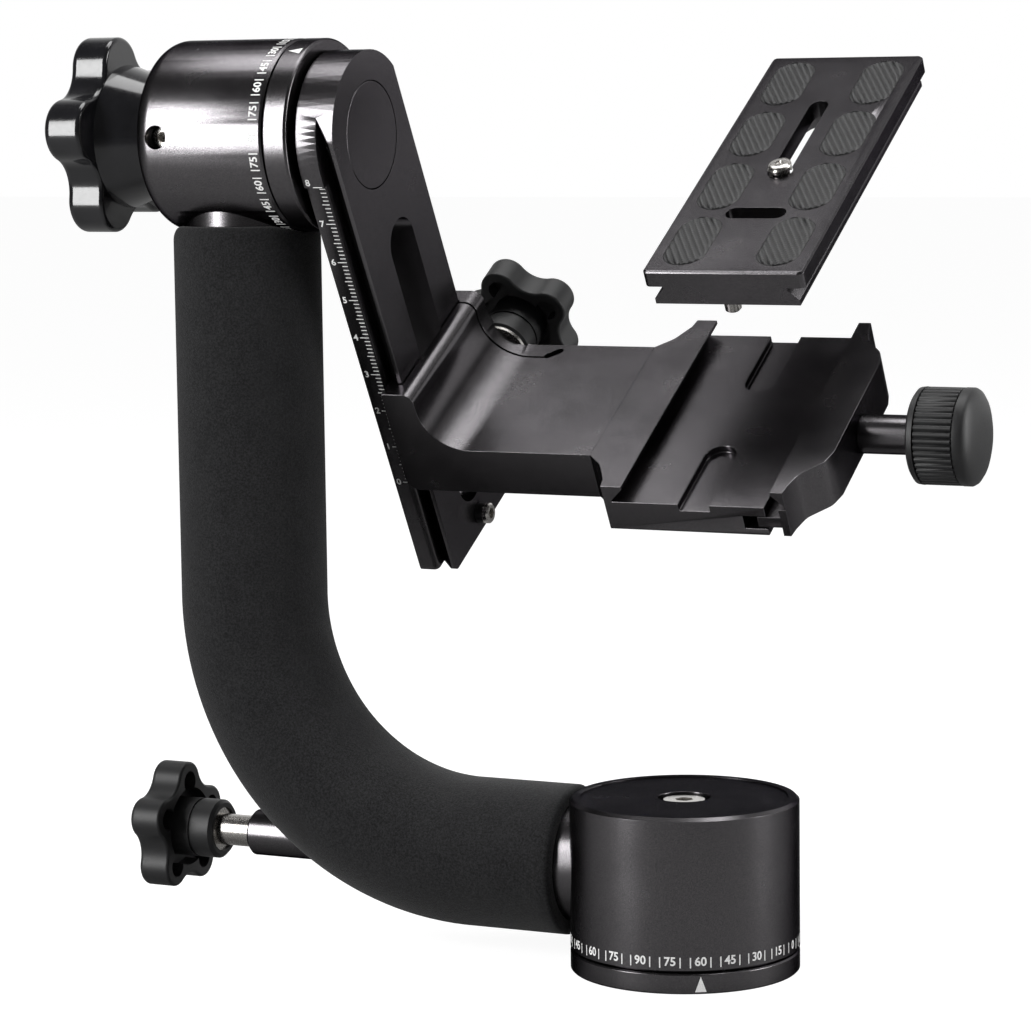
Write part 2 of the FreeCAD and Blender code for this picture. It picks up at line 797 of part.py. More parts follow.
def arm_tube():
    """The bent aluminium tube that carries the tilt bearing beside the pan axis."""
    body = new_body("arm_tube", (0, 0, z.arm_axis_z))
    sweep_along_arm(body, arm_path(body), z.tube_radius, tube_bore)
    sleeve = z.lock_sleeve_radius + z.seat_fit
    cut_cylinder(body, (-z.lock_sleeve_reach, 0, 0), ALONG, sleeve, z.lock_sleeve_length + sleeve)


def foam_grip():
    """The foam sleeve that covers the tube from drum to drum."""
    body = new_body("foam_grip", (0, 0, z.arm_axis_z))
    sweep_along_arm(body, arm_path(body), foam_radius, z.tube_radius + z.foam_play)
    top = z.tilt_axis_z - z.foam_top_drop - z.arm_axis_z
    drop = z.foam_top_drop
    trim = new_sketch(body, "XY", top)
    draw_circle(trim, z.upright_x, 0, foam_radius + 1)
    pocket(body, trim, drop, backwards=True)
    end = new_sketch(body, "YZ", -z.base_radius - z.foam_end_gap)
    draw_circle(end, 0, 0, foam_radius + 1)
    pocket(body, end, z.base_radius, backwards=True)
    ease = edges_where(body, lambda m, e: near(m.z, top) and e.Length > 6.28 * foam_radius.value - 1)
    base = body.Tip
    bevel = body.newObject("PartDesign::Chamfer", "foam_grip_bevel")
    bevel.Base = (base, ease)
    bevel.ChamferType = "Two distances"
    bind(bevel, "Size", z.foam_top_bevel)
    bind(bevel, "Size2", z.foam_top_inset)
    saddle = z.tilt_drum_radius + z.free_gap
    height = z.tilt_axis_z - z.arm_axis_z
    cut_cylinder(body, (z.upright_x - foam_radius * 2, 0, height), ALONG, saddle, foam_radius * 4)
    sleeve = z.lock_sleeve_radius + z.free_gap
    cut_cylinder(body, (-z.lock_sleeve_reach, 0, 0), ALONG, sleeve, z.lock_sleeve_length)


def pan_lock_sleeve():
    """The threaded sleeve welded through the outside of the bend for the pan lock."""
    body = new_body("pan_lock_sleeve", (0, 0, z.arm_axis_z))
    bore = z.m8_radius + z.seat_fit
    edge = z.drum_edge
    start = -z.lock_sleeve_reach
    end = start + z.lock_sleeve_length
    turn_profile(body, [(start, bore), (start, z.lock_sleeve_radius - edge),
                        (start + edge, z.lock_sleeve_radius), (end, z.lock_sleeve_radius),
                        (end, bore)], "H")


def pan_brake_shoe():
    """The nylon slug that the pan lock presses on the post."""
    body = new_body("pan_brake_shoe", (0, 0, z.arm_axis_z))
    tip = -z.pan_journal_radius - z.free_gap
    add_cylinder(body, (tip, 0, 0), BACK, z.brake_shoe_radius, z.brake_shoe_length)


def pan_lock_rod():
    """The rod that runs inside the tube from the knob to the brake shoe."""
    body = new_body("pan_lock_rod", (0, 0, z.arm_axis_z))
    shoe_back = -z.pan_journal_radius - z.free_gap - z.brake_shoe_length
    face = -z.pan_knob_reach
    ferrule_out = face - z.star_recess_depth + z.star_ferrule_height
    ferrule = z.star_recess_radius - z.seat_fit
    turn_profile(body, [(shoe_back, 0), (shoe_back, z.m8_radius), (ferrule_out, z.m8_radius),
                        (ferrule_out, ferrule), (face - z.star_recess_depth, ferrule),
                        (face - z.star_recess_depth, z.m8_radius),
                        (face - z.pan_rod_grip, z.m8_radius), (face - z.pan_rod_grip, 0)], "H")


def star_rim(body, tip, valley, lobe, start, thickness):
    """A rim with round lobes and round hollows that meet in tangent arcs."""
    lobe_place = tip - lobe
    half_cos = math.cos(math.pi / KNOB_LOBES)
    half_sin = math.sin(math.pi / KNOB_LOBES)
    rise = lobe - valley
    hollow_place = (lobe_place * lobe_place - rise * rise) / ((lobe_place * half_cos + rise) * 2)
    hollow = hollow_place - valley
    step = lobe / (lobe + hollow)
    meet_x = lobe_place + (hollow_place * half_cos - lobe_place) * step
    meet_y = hollow_place * half_sin * step
    core = new_sketch(body, "XY", start)
    draw_circle(core, 0, 0, root(meet_x * meet_x + meet_y * meet_y))
    pad(body, core, thickness)
    bump = new_sketch(body, "XY", start)
    draw_circle(bump, lobe_place, 0, lobe)
    bumps = pad(body, bump, thickness)
    polar_copies(body, [bumps], KNOB_LOBES)
    scoop = new_sketch(body, "XY", start)
    draw_circle(scoop, hollow_place * half_cos, hollow_place * half_sin, hollow)
    scoops = pocket(body, scoop, thickness, backwards=True)
    polar_copies(body, [scoops], KNOB_LOBES)


def star_knob(name, point, turn, bore, grip, cradle=False):
    """The small lock knob: hollow behind, with a grooved hub and a recess for its ferrule."""
    body = new_body(name, point, turn, cradle)
    back = z.star_hub_length
    front = back + z.star_rim
    star_rim(body, z.star_tip_radius, z.star_valley_radius, z.star_lobe_radius, back, z.star_rim)
    ease_edges(body, "Fillet", z.star_edge, lambda m, e: near(m.z, front))
    ease_edges(body, "Fillet", z.star_edge / 2, lambda m, e: near(m.z, back))
    dish = new_sketch(body, "XY", back)
    draw_circle(dish, 0, 0, z.star_valley_radius - z.star_wall)
    pocket(body, dish, z.star_hollow_depth, backwards=True)
    cup = new_sketch(body, "XY", back)
    draw_circle(cup, z.star_tip_radius - z.star_lobe_radius, 0, z.star_lobe_radius - z.star_wall)
    cups = pocket(body, cup, z.star_hollow_depth, backwards=True)
    polar_copies(body, [cups], KNOB_LOBES)
    hub = z.star_hub_radius
    edge = z.drum_edge
    groove = z.star_groove
    floor = hub - edge / 2
    turn_profile(body, [(0, 0), (hub - edge, 0), (hub, edge), (hub, groove), (floor, groove),
                        (floor, groove + edge), (hub, groove + edge),
                        (hub, back + z.star_hollow_depth), (0, back + z.star_hollow_depth)], "V")
    cut_cylinder(body, (0, 0, 0), UP, z.star_recess_radius, z.star_recess_depth)
    cut_cylinder(body, (0, 0, 0), UP, bore, grip)


def pan_lock_knob():
    """The knob of the pan lock, behind the arm."""
    phase = math.radians(z.pan_knob_phase.value)
    turn = facing((-1, 0, 0), (0, -math.cos(phase), math.sin(phase)))
    star_knob("pan_lock_knob", (-z.pan_knob_reach, 0, z.arm_axis_z), turn, z.m8_radius, z.pan_rod_grip)


def tilt_drum():
    """The housing of the tilt bearing at the top of the arm."""
    body = new_body("tilt_drum", (0, 0, z.tilt_axis_z))
    outer = z.tilt_drum_radius
    turn_profile(body, flipped(ring_profile(tilt_bush_radius, outer, drum_left_x, drum_right_x)), "H")
    ease_edges(body, "Fillet", z.tilt_drum_round,
               lambda m, e: near(m.x, drum_left_x) and e.Length > 6.28 * outer.value - 1)
    ease_edges(body, "Chamfer", z.index_ring_edge,
               lambda m, e: near(m.x, drum_right_x) and e.Length > 6.28 * outer.value - 1)
    cut_cylinder(body, (z.upright_x, 0, -z.tilt_socket_drop), DOWN, z.tube_radius + z.seat_fit, outer)
    cut_cylinder(body, (set_screw_x, -tilt_bush_radius + 2, 0), (0, -1, 0), z.set_screw_hole, outer)


def drum_set_screw():
    """The socket set screw that pins the left bush, seen in the drum's side."""
    body = new_body("drum_set_screw", (set_screw_x, -tilt_bush_radius, z.tilt_axis_z),
                    facing((0, -1, 0), (1, 0, 0)))
    add_cylinder(body, (0, 0, 0), UP, z.m5_radius, z.set_screw_length)
    hex_socket(body, z.set_screw_length, z.set_screw_socket, z.m5_radius)


def tilt_bush(name, start, length):
    """A plain bush between the drum and the tilt spindle."""
    body = new_body(name, (0, 0, z.tilt_axis_z))
    bore = z.tilt_journal_radius + z.running_fit
    turn_profile(body, flipped(ring_profile(bore, tilt_bush_radius, start, start + length)), "H")


def index_ring():
    """The ring beside the drum that carries the tilt pointer and turns with the rail."""
    body = new_body("index_ring", (0, 0, z.tilt_axis_z))
    outer = z.tilt_drum_radius
    ring = ring_profile(z.tilt_journal_radius, outer, ring_left_x, ring_right_x, z.index_ring_edge)
    turn_profile(body, flipped(ring), "H")
    inner_edge = z.friction_inner_radius - z.seat_fit
    outer_edge = z.friction_outer_radius + z.seat_fit
    depth = z.friction_thickness - (z.free_gap - z.thrust_gap)
    seat = ring_left_x + depth
    turn_profile(body, flipped(ring_profile(inner_edge, outer_edge, ring_left_x - 1, seat)), "H", cut=True)


def tilt_friction_washer():
    """The friction disc between the drum and the index ring."""
    body = new_body("tilt_friction_washer", (0, 0, z.tilt_axis_z))
    left = drum_right_x + z.thrust_gap
    turn_profile(body, flipped(ring_profile(z.friction_inner_radius, z.friction_outer_radius, left,
                                            left + z.friction_thickness)), "H")


def index_spacer():
    """The step between the index ring and the rail."""
    body = new_body("index_spacer", (0, 0, z.tilt_axis_z))
    turn_profile(body, flipped(ring_profile(z.tilt_journal_radius, z.index_spacer_radius, ring_right_x,
                                            rail_back_x)), "H")


def tilt_spindle():
    """The shaft through the drum: a flange let into the rail, a journal and a threaded stud."""
    body = new_body("tilt_spindle", (0, 0, z.tilt_axis_z))
    shoulder = drum_left_x + z.free_gap
    end = shoulder - z.stud_length
    edge = z.drum_edge
    turn_profile(body, [(flange_face_x, 0), (flange_face_x, z.spindle_flange_radius),
                        (flange_back_x, z.spindle_flange_radius), (flange_back_x, z.tilt_journal_radius),
                        (shoulder, z.tilt_journal_radius), (shoulder, z.m10_radius),
                        (end + edge, z.m10_radius), (end, z.m10_radius - edge), (end, 0)], "H")
    flange_screw_holes(body)


def flange_screw_holes(body):
    """Countersunk holes of the flange screws, through whatever body they meet."""
    depth = z.flange_screw_head - z.m2_radius
    for i in range(FLANGE_SCREWS):
        y, height = flange_screw_place(i)
        cut_cone(body, (flange_face_x, y, height), BACK, z.flange_screw_head, z.m2_radius, depth)
        cut_cylinder(body, (flange_face_x, y, height), BACK, z.m2_radius, z.flange_screw_length)


def flange_screw_place(i):
    """Where flange screw number i stands round the tilt axis."""
    angle = z.tilt_angle + 360.0 * i / FLANGE_SCREWS
    return -z.flange_screw_circle * sine(angle), z.flange_screw_circle * cosine(angle)


def spindle_flange_screws():
    """Three countersunk screws that hold the spindle's flange to the rail."""
    body = new_body("spindle_flange_screws", (0, 0, z.tilt_axis_z))
    body.AllowCompound = True
    depth = z.flange_screw_head - z.m2_radius
    for i in range(FLANGE_SCREWS):
        y, height = flange_screw_place(i)
        add_cone(body, (flange_face_x, y, height), BACK, z.flange_screw_head, z.m2_radius, depth)
        add_cylinder(body, (flange_face_x - depth, y, height), BACK, z.m2_radius,
                     z.flange_screw_length - depth)


def tilt_thrust_washer():
    """The washer that the tilt knob presses on the drum."""
    body = new_body("tilt_thrust_washer", (0, 0, z.tilt_axis_z))
    bore = z.m10_radius + z.thrust_washer_gap
    turn_profile(body, flipped(ring_profile(bore, z.thrust_washer_radius, knob_face_x, thrust_right_x)), "H")


def tilt_lock_knob():
    """The large glossy knob that locks the tilt."""
    phase = math.radians(z.tilt_knob_phase.value)
    turn = facing((-1, 0, 0), (0, -math.cos(phase), math.sin(phase)))
    body = new_body("tilt_lock_knob", (knob_face_x, 0, z.tilt_axis_z), turn)
    back = z.tilt_knob_hub_length
    front = back + z.tilt_knob_rim
    star_rim(body, z.tilt_knob_tip, z.tilt_knob_valley, z.tilt_knob_lobe, back, z.tilt_knob_rim)
    ease_edges(body, "Fillet", z.tilt_knob_edge, lambda m, e: near(m.z, front))
    ease_edges(body, "Fillet", z.tilt_knob_edge / 2, lambda m, e: near(m.z, back))
    turn_profile(body, [(0, 0), (z.tilt_knob_hub_front, 0), (z.tilt_knob_hub_back, back),
                        (0, back)], "V")
    cut_cylinder(body, (0, 0, 0), UP, z.knob_insert_radius, z.knob_insert_length)


def tilt_knob_insert():
    """The threaded metal insert moulded into the tilt knob."""
    body = new_body("tilt_knob_insert", (0, 0, z.tilt_axis_z))
    bore = z.m10_radius + z.seat_fit
    ring = ring_profile(bore, z.knob_insert_radius, knob_face_x - z.knob_insert_length, knob_face_x)
    turn_profile(body, flipped(ring), "H")


def swing_rail():
    """The long dovetail rail that hangs from the tilt spindle, round at its boss."""
    body = new_body("swing_rail", cradle=True)
    blank = new_sketch(body, "YZ", rail_back_x)
    draw_polygon(blank, [(-z.boss_radius, z.rail_bottom_w), (z.boss_radius, z.rail_bottom_w),
                         (z.boss_radius, 0), (-z.boss_radius, 0)])
    pad(body, blank, z.rail_thickness)
    add_cylinder(body, (rail_back_x, 0, 0), ALONG, z.boss_radius, z.rail_thickness)
    far = z.boss_radius + 1
    flanks = new_sketch(body, "XY")
    sides = new_sketch(body, "XY", z.boss_foot_w)
    for side in (1, -1):
        draw_polygon(flanks, [(shoulder_x, far * side), (shoulder_x, rail_root_half * side),
                              (lip_back_x, rail_half * side), (z.rail_face_x + 1, rail_half * side),
                              (z.rail_face_x + 1, far * side)])
        draw_polygon(sides, [(rail_back_x - 1, far * side), (rail_back_x - 1, z.strip_width / 2 * side),
                             (shoulder_x + 1, z.strip_width / 2 * side), (shoulder_x + 1, far * side)])
    pocket(body, flanks, middle=True)
    pocket(body, sides)
    slot = new_sketch(body, "YZ", rail_back_x)
    draw_slot(slot, 0, z.rail_slot_bottom_w, 0, z.rail_slot_top_w, z.rail_slot_half)
    pocket(body, slot, z.rail_thickness, backwards=True)
    strip_edge = z.strip_width / 2
    ease_edges(body, "Fillet", z.strip_edge_round,
               lambda m, e: near(m.x, shoulder_x) and near(abs(m.y), strip_edge) and e.Length > 50)
    ease_edges(body, "Fillet", z.rail_corner_round,
               lambda m, e: near(m.z, z.rail_bottom_w, 2) and near(heading(e).x ** 2, 1)
               and abs(m.y) > rail_half.value - 1)
    cut_cylinder(body, (z.rail_face_x, 0, 0), BACK, counterbore_radius, z.rail_face_x - flange_back_x)
    cut_cylinder(body, (rail_back_x, 0, 0), ALONG, z.tilt_journal_radius, z.rail_thickness)
    for i in range(FLANGE_SCREWS):
        angle = 2 * math.pi * i / FLANGE_SCREWS
        v = z.flange_screw_circle * -math.sin(angle)
        w = z.flange_screw_circle * math.cos(angle)
        cut_cylinder(body, (flange_face_x, v, w), BACK, z.m2_radius, z.flange_screw_length)
    cut_cylinder(body, (z.rail_face_x, 0, z.stop_screw_w), BACK, z.m3_radius,
                 z.stop_screw_length)


def rail_cap_disc():
    """The flush disc that hides the spindle's flange."""
    body = new_body("rail_cap_disc", cradle=True)
    add_cylinder(body, (flange_face_x, 0, 0), ALONG, z.face_disc_radius, z.face_disc_thickness)


def safety_stop_collar():
    """The soft collar that catches the platform before it slides off the rail."""
    body = new_body("safety_stop_collar", (z.rail_face_x, 0, z.stop_screw_w), facing(ALONG, UP),
                    cradle=True)
    turn_profile(body, ring_profile(z.m3_radius, z.stop_collar_radius, 0, z.stop_collar_height), "V")


def safety_stop_screw():
    """The socket screw through the stop collar."""
    body = new_body("safety_stop_screw", (z.rail_face_x, 0, z.stop_screw_w), facing(ALONG, UP),
                    cradle=True)
    top = z.stop_collar_height + z.stop_head_height
    edge = z.drum_edge / 2
    turn_profile(body, [(0, -z.stop_screw_length), (z.m3_radius, -z.stop_screw_length),
                        (z.m3_radius, z.stop_collar_height), (z.stop_collar_radius, z.stop_collar_height),
                        (z.stop_collar_radius, top - edge), (z.stop_collar_radius - edge, top),
                        (0, top)], "V")
    hex_socket(body, top, z.m3_radius, z.m3_radius)


def platform_bracket():
    """The L-shaped carriage: a dovetail channel with a sawn clamping jaw, and the deck's arm."""
    body = new_body("platform_bracket", cradle=True)
    profile = new_sketch(body, "XZ")
    draw_polygon(profile, [(z.bracket_back_x, z.bracket_top_w), (z.bracket_leg_x, z.bracket_top_w),
                           (z.bracket_leg_x, z.deck_w), (z.bracket_end_x, z.deck_w),
                           (z.bracket_end_x, z.platform_bottom_w),
                           (z.bracket_back_x, z.platform_bottom_w)])
    pad(body, profile, z.bracket_half * 2, middle=True)
    ease_edges(body, "Fillet", z.bracket_inner_round, across_at(z.bracket_leg_x, z.deck_w))
    ease_edges(body, "Fillet", z.bracket_top_round, across_at(z.bracket_leg_x, z.bracket_top_w))
    ease_edges(body, "Fillet", z.bracket_heel_round, across_at(z.bracket_back_x, z.platform_bottom_w))
    side = rail_half + z.rail_slide_gap * math.sqrt(2)
    tip_x = lip_back_x - (side - z.jaw_tip_half)
    channel = new_sketch(body, "XY")
    beyond = z.bracket_back_x - 1
    draw_polygon(channel, [(channel_x, side), (lip_back_x, side), (tip_x, z.jaw_tip_half),
                           (beyond, z.jaw_tip_half), (beyond, -z.jaw_tip_half),
                           (tip_x, -z.jaw_tip_half), (lip_back_x, -side), (channel_x, -side)])
    pocket(body, channel, middle=True)
    saw = new_sketch(body, "XY")
    half_kerf = z.kerf_width / 2
    draw_polygon(saw, [(channel_x - 1, z.kerf_v - half_kerf), (z.kerf_end_x, z.kerf_v - half_kerf),
                       (z.kerf_end_x, z.kerf_v + half_kerf), (channel_x - 1, z.kerf_v + half_kerf)])
    pocket(body, saw, middle=True)
    flexure = new_sketch(body, "XY")
    draw_slot(flexure, z.flex_slot_inner_x, z.flex_slot_inner_v, z.flex_slot_outer_x,
              z.flex_slot_outer_v, z.flex_slot_radius)
    pocket(body, flexure, middle=True)
    cut_cylinder(body, (z.height_screw_x, z.bracket_half, z.height_screw_w), (0, -1, 0),
                 z.m6_radius + z.seat_fit, z.height_screw_depth + z.seat_fit)
    cut_cylinder(body, (z.height_screw_x, z.bracket_half, z.height_screw_w), (0, -1, 0),
                 z.spot_face_radius, z.spot_face_depth)
    for v in (z.platform_stud_v, -z.platform_stud_v):
        cut_cylinder(body, (z.bracket_end_x, v, z.platform_stud_w), BACK, z.platform_stud_radius,
                     z.platform_stud_length / 2)


def clamp_studs():
    """Two hidden studs that join the clamp to the bracket."""
    body = new_body("clamp_studs", cradle=True)
    body.AllowCompound = True
    start = z.bracket_end_x - z.platform_stud_length / 2
    for v in (z.platform_stud_v, -z.platform_stud_v):
        add_cylinder(body, (start, v, z.platform_stud_w), ALONG, z.platform_stud_radius,
                     z.platform_stud_length)


def clamp_base():
    """The clamp's floor and fixed jaw, cut to an S-shaped neck where it meets the bracket."""
    body = new_body("clamp_base", cradle=True)
    profile = new_sketch(body, "XZ")
    land_w = z.deck_w - z.jaw_land
    root_x = z.fixed_jaw_x - (land_w - z.clamp_floor_w)
    draw_polygon(profile, [(z.bracket_end_x, z.deck_w), (z.fixed_jaw_x, z.deck_w),
                           (z.fixed_jaw_x, land_w), (root_x, z.clamp_floor_w),
                           (z.clamp_end_x, z.clamp_floor_w), (z.clamp_end_x, z.platform_bottom_w),
                           (z.bracket_end_x, z.platform_bottom_w)])
    pad(body, profile, z.clamp_half * 2, middle=True)
    shoulder = new_sketch(body, "XY")
    far = z.clamp_half + 1
    left = z.bracket_end_x - 1
    neck_x = z.bracket_end_x + z.base_neck_run
    neck_v = z.bracket_half + z.base_neck_rise
    waist_x = z.bracket_end_x + z.base_waist_run
    waist_v = z.clamp_half - z.base_waist_drop
    tip_x = z.bracket_end_x + z.base_tip_run
    for side in (1, -1):
        draw_polygon(shoulder, [(left, z.bracket_half * side), (z.bracket_end_x, z.bracket_half * side),
                                (neck_x, neck_v * side), (waist_x, waist_v * side),
                                (tip_x, far * side), (left, far * side)])
    pocket(body, shoulder, middle=True)
    for side in (1, -1):
        ease_edges(body, "Fillet", z.base_neck_round, upright_at(neck_x, neck_v * side))
        ease_edges(body, "Fillet", z.base_waist_round, upright_at(waist_x, waist_v * side))
    relief = new_sketch(body, "XY", z.clamp_floor_w)
    half = z.recess_width / 2
    beyond = far + half
    for side in (1, -1):
        draw_slot(relief, z.recess_x, (z.recess_start_v + half) * side, z.recess_x, beyond * side, half)
    pocket(body, relief, z.recess_depth)
    tongue = new_sketch(body, "XY", z.tongue_slot_top_w)
    for side in (1, -1):
        draw_polygon(tongue, [(z.tongue_slot_x, z.tongue_slot_v * side),
                              (z.clamp_end_x + 1, z.tongue_slot_v * side),
                              (z.clamp_end_x + 1, far * side), (z.tongue_slot_x, far * side)])
    pocket(body, tongue, z.tongue_slot_height)
    cut_cylinder(body, (z.clamp_thread_start_x, 0, z.clamp_screw_w), ALONG,
                 z.m6_radius + z.seat_fit, z.clamp_end_x - z.clamp_thread_start_x + 1)
    for v in (z.platform_stud_v, -z.platform_stud_v):
        cut_cylinder(body, (z.bracket_end_x, v, z.platform_stud_w), ALONG, z.platform_stud_radius,
                     z.platform_stud_length / 2)


def clamp_jaw():
    """The moving jaw, guided by two tongues in the clamp's end."""
    body = new_body("clamp_jaw", cradle=True)
    land_w = z.deck_w - z.jaw_land
    root_x = z.moving_jaw_x + z.moving_jaw_undercut
    root_w = land_w - z.moving_jaw_undercut
    ledge_w = root_w - z.moving_jaw_ledge
    profile = new_sketch(body, "XZ")
    draw_polygon(profile, [(z.moving_jaw_x, z.deck_w), (z.moving_jaw_outer_x, z.deck_w),
                           (z.moving_jaw_outer_x, z.platform_bottom_w),
                           (z.moving_jaw_face_x, z.platform_bottom_w), (z.moving_jaw_face_x, ledge_w),
                           (root_x, ledge_w), (root_x, root_w), (z.moving_jaw_x, land_w)])
    pad(body, profile, z.clamp_half * 2, middle=True)
    far = z.clamp_half + 1
    outer = z.moving_jaw_outer_x
    start_v = z.clamp_half - z.jaw_curve_length
    flare_x = outer - z.jaw_flare_run
    flare_v = z.clamp_half - z.jaw_flare_drop
    waist_x = outer - z.jaw_waist_run
    waist_v = z.clamp_half - z.jaw_waist_drop
    neck_x = outer - z.jaw_neck_run
    neck_v = z.clamp_half - z.jaw_neck_drop
    tip_x = outer - z.jaw_tip_run
    shoulder = new_sketch(body, "XY")
    for side in (1, -1):
        draw_polygon(shoulder, [(outer + 1, start_v * side), (outer, start_v * side),
                                (flare_x, flare_v * side), (waist_x, waist_v * side),
                                (neck_x, neck_v * side), (tip_x, far * side),
                                (outer + 1, far * side)])
    pocket(body, shoulder, middle=True)
    for side in (1, -1):
        ease_edges(body, "Fillet", z.jaw_curve_round, upright_at(flare_x, flare_v * side))
        ease_edges(body, "Fillet", z.jaw_curve_round, upright_at(waist_x, waist_v * side))
    gap = z.free_gap
    tongue = new_sketch(body, "XY", z.tongue_slot_top_w - gap)
    inner_v = z.tongue_slot_v + gap
    outer_v = z.clamp_half - gap
    start = z.moving_jaw_face_x - z.tongue_length
    for side in (1, -1):
        draw_polygon(tongue, [(start, inner_v * side), (z.moving_jaw_face_x + 1, inner_v * side),
                              (z.moving_jaw_face_x + 1, outer_v * side), (start, outer_v * side)])
    pad(body, tongue, z.tongue_slot_height - gap * 2, backwards=True)
    cut_cylinder(body, (z.moving_jaw_face_x - 1, 0, z.clamp_screw_w), ALONG,
                 z.m6_radius + gap, outer - z.moving_jaw_face_x + 2)


def clamp_screw():
    """The screw that draws the moving jaw in."""
    body = new_body("clamp_screw", cradle=True)
    add_cylinder(body, (z.clamp_screw_tip_x, 0, z.clamp_screw_w), ALONG, z.m6_radius,
                 z.clamp_screw_length)


def clamp_knob_sleeve():
    """The plain sleeve between the jaw and its knob."""
    body = new_body("clamp_knob_sleeve", (0, 0, z.clamp_screw_w), cradle=True)
    start = z.moving_jaw_outer_x + z.thrust_gap
    turn_profile(body, flipped(ring_profile(z.m6_radius, z.clamp_sleeve_radius, start,
                                            z.clamp_knob_x)), "H")


def clamp_knob():
    """The knurled knob: ribs between two plain collars and a domed end."""
    body = new_body("clamp_knob", (z.clamp_knob_x, 0, z.clamp_screw_w), facing(ALONG, UP), cradle=True)
    outer = z.clamp_knob_radius
    top = z.clamp_knob_length
    shoulder = top - z.clamp_knob_dome
    edge = z.drum_edge
    turn_profile(body, [(0, 0), (outer - edge, 0), (outer, edge), (outer, shoulder),
                        (outer - edge, shoulder + edge), (z.clamp_dome_radius, top - edge / 2),
                        (0, top)], "V")
    flute = new_sketch(body, "XY", z.clamp_knob_collar)
    draw_circle(flute, outer, 0, z.knurl_radius)
    flutes = pocket(body, flute, shoulder - z.clamp_knob_collar * 2, backwards=True)
    polar_copies(body, [flutes], KNURLS)
    grip = z.clamp_screw_tip_x + z.clamp_screw_length - z.clamp_knob_x
    cut_cylinder(body, (0, 0, 0), UP, z.m6_radius, grip)


def rail_lock_screw():
    """The screw that pulls the bracket's sawn jaw onto the rail."""
    body = new_body("rail_lock_screw", (z.height_screw_x, height_knob_v, z.height_screw_w),
                    facing((0, 1, 0), ALONG), cradle=True)
    ferrule = z.star_recess_radius - z.seat_fit
    bottom = z.star_recess_depth - z.star_ferrule_height
    turn_profile(body, [(0, -z.height_screw_depth), (z.m6_radius, -z.height_screw_depth),
                        (z.m6_radius, bottom), (ferrule, bottom), (ferrule, z.star_recess_depth),
                        (z.m6_radius, z.star_recess_depth), (z.m6_radius, z.height_screw_grip),
                        (0, z.height_screw_grip)], "V")


def rail_lock_knob():
    """The knob of the height lock, the same part as the pan lock's."""
    phase = math.radians(z.height_knob_phase.value)
    turn = facing((0, 1, 0), (math.cos(phase), 0, math.sin(phase)))
    star_knob("rail_lock_knob", (z.height_screw_x, height_knob_v, z.height_screw_w), turn,
              z.m6_radius, z.height_screw_grip, cradle=True)


def rail_lock_washer():
    """The washer under the height knob, sunk in its spot face."""
    body = new_body("rail_lock_washer", (z.height_screw_x, height_knob_v, z.height_screw_w),
                    facing((0, 1, 0), ALONG), cradle=True)
    turn_profile(body, ring_profile(z.m6_radius + z.thrust_washer_gap, z.height_washer_radius,
                                    -z.height_washer_thickness, 0), "V")


def plate_body(name):
    """A body in the quick plate's own place: on the middle of its top face."""
    return new_body(name, (0, z.plate_v, z.plate_w), cradle=True)


def quick_plate():
    """The camera plate: a dovetail foot, two screw slots and pockets for eight pads."""
    body = plate_body("quick_plate")
    neck_bottom = z.plate_slab + z.plate_neck
    flange_top = z.plate_height - z.plate_flange_land
    neck_half = z.plate_flange / 2 - (flange_top - neck_bottom)
    flange_half = z.plate_flange / 2
    outline = [(plate_half, 0), (plate_half, -z.plate_slab), (neck_half, -z.plate_slab),
               (neck_half, -neck_bottom), (flange_half, -flange_top), (flange_half, -z.plate_height)]
    profile = new_sketch(body, "XZ")
    draw_polygon(profile, outline + [(-as_size(x), y) for x, y in reversed(outline)])
    pad(body, profile, z.plate_length, middle=True)
    ease_edges(body, "Fillet", z.plate_corner_round,
               lambda m, e: near(abs(m.x), plate_half) and near(abs(m.y), z.plate_length / 2)
               and near(heading(e).z ** 2, 1))
    ease_edges(body, "Chamfer", z.plate_edge, lambda m, e: near(m.z, 0))
    through = new_sketch(body, "XY")
    draw_slot(through, 0, z.camera_screw_v, 0, z.plate_slot_end - z.plate_slot_width / 2,
              z.plate_slot_width / 2)
    pocket(body, through, z.plate_height)
    cross = new_sketch(body, "XY")
    reach = z.short_slot_half - z.plate_slot_width / 2
    draw_slot(cross, -reach, z.short_slot_v, reach, z.short_slot_v, z.plate_slot_width / 2)
    pocket(body, cross, z.plate_height)
    cut_cylinder(body, (0, z.camera_screw_v, 0), DOWN, z.camera_hole_radius, z.plate_height)
    below = new_sketch(body, "XY", -z.plate_height)
    draw_slot(below, 0, z.camera_screw_v, 0, z.plate_slot_end - z.plate_slot_width / 2,
              z.counterbore_width / 2)
    pocket(body, below, z.counterbore_depth, backwards=True)
    sockets = new_sketch(body, "XY")
    draw_pads(sockets)
    pocket(body, sockets, z.pad_pocket_depth)
    cut_cylinder(body, (0, z.plate_pin_v, -z.plate_height), UP, z.plate_pin_radius, z.plate_pin_height)


def draw_pads(sketch):
    """The outlines of the eight pads: two columns of four rounded ovals."""
    reach = (z.pad_length - z.pad_width) / 2
    for row in range(PAD_ROWS):
        v = z.pad_pitch * (row - (PAD_ROWS - 1) / 2)
        for x in (z.pad_x, -z.pad_x):
            draw_slot(sketch, x, v - reach, x, v + reach, z.pad_width / 2)


def rubber_pads():
    """Eight ribbed rubber pads set into the plate's top."""
    body = plate_body("rubber_pads")
    body.AllowCompound = True
    outlines = new_sketch(body, "XY", -z.pad_pocket_depth)
    draw_pads(outlines)
    pad(body, outlines, z.pad_pocket_depth + z.pad_proud)


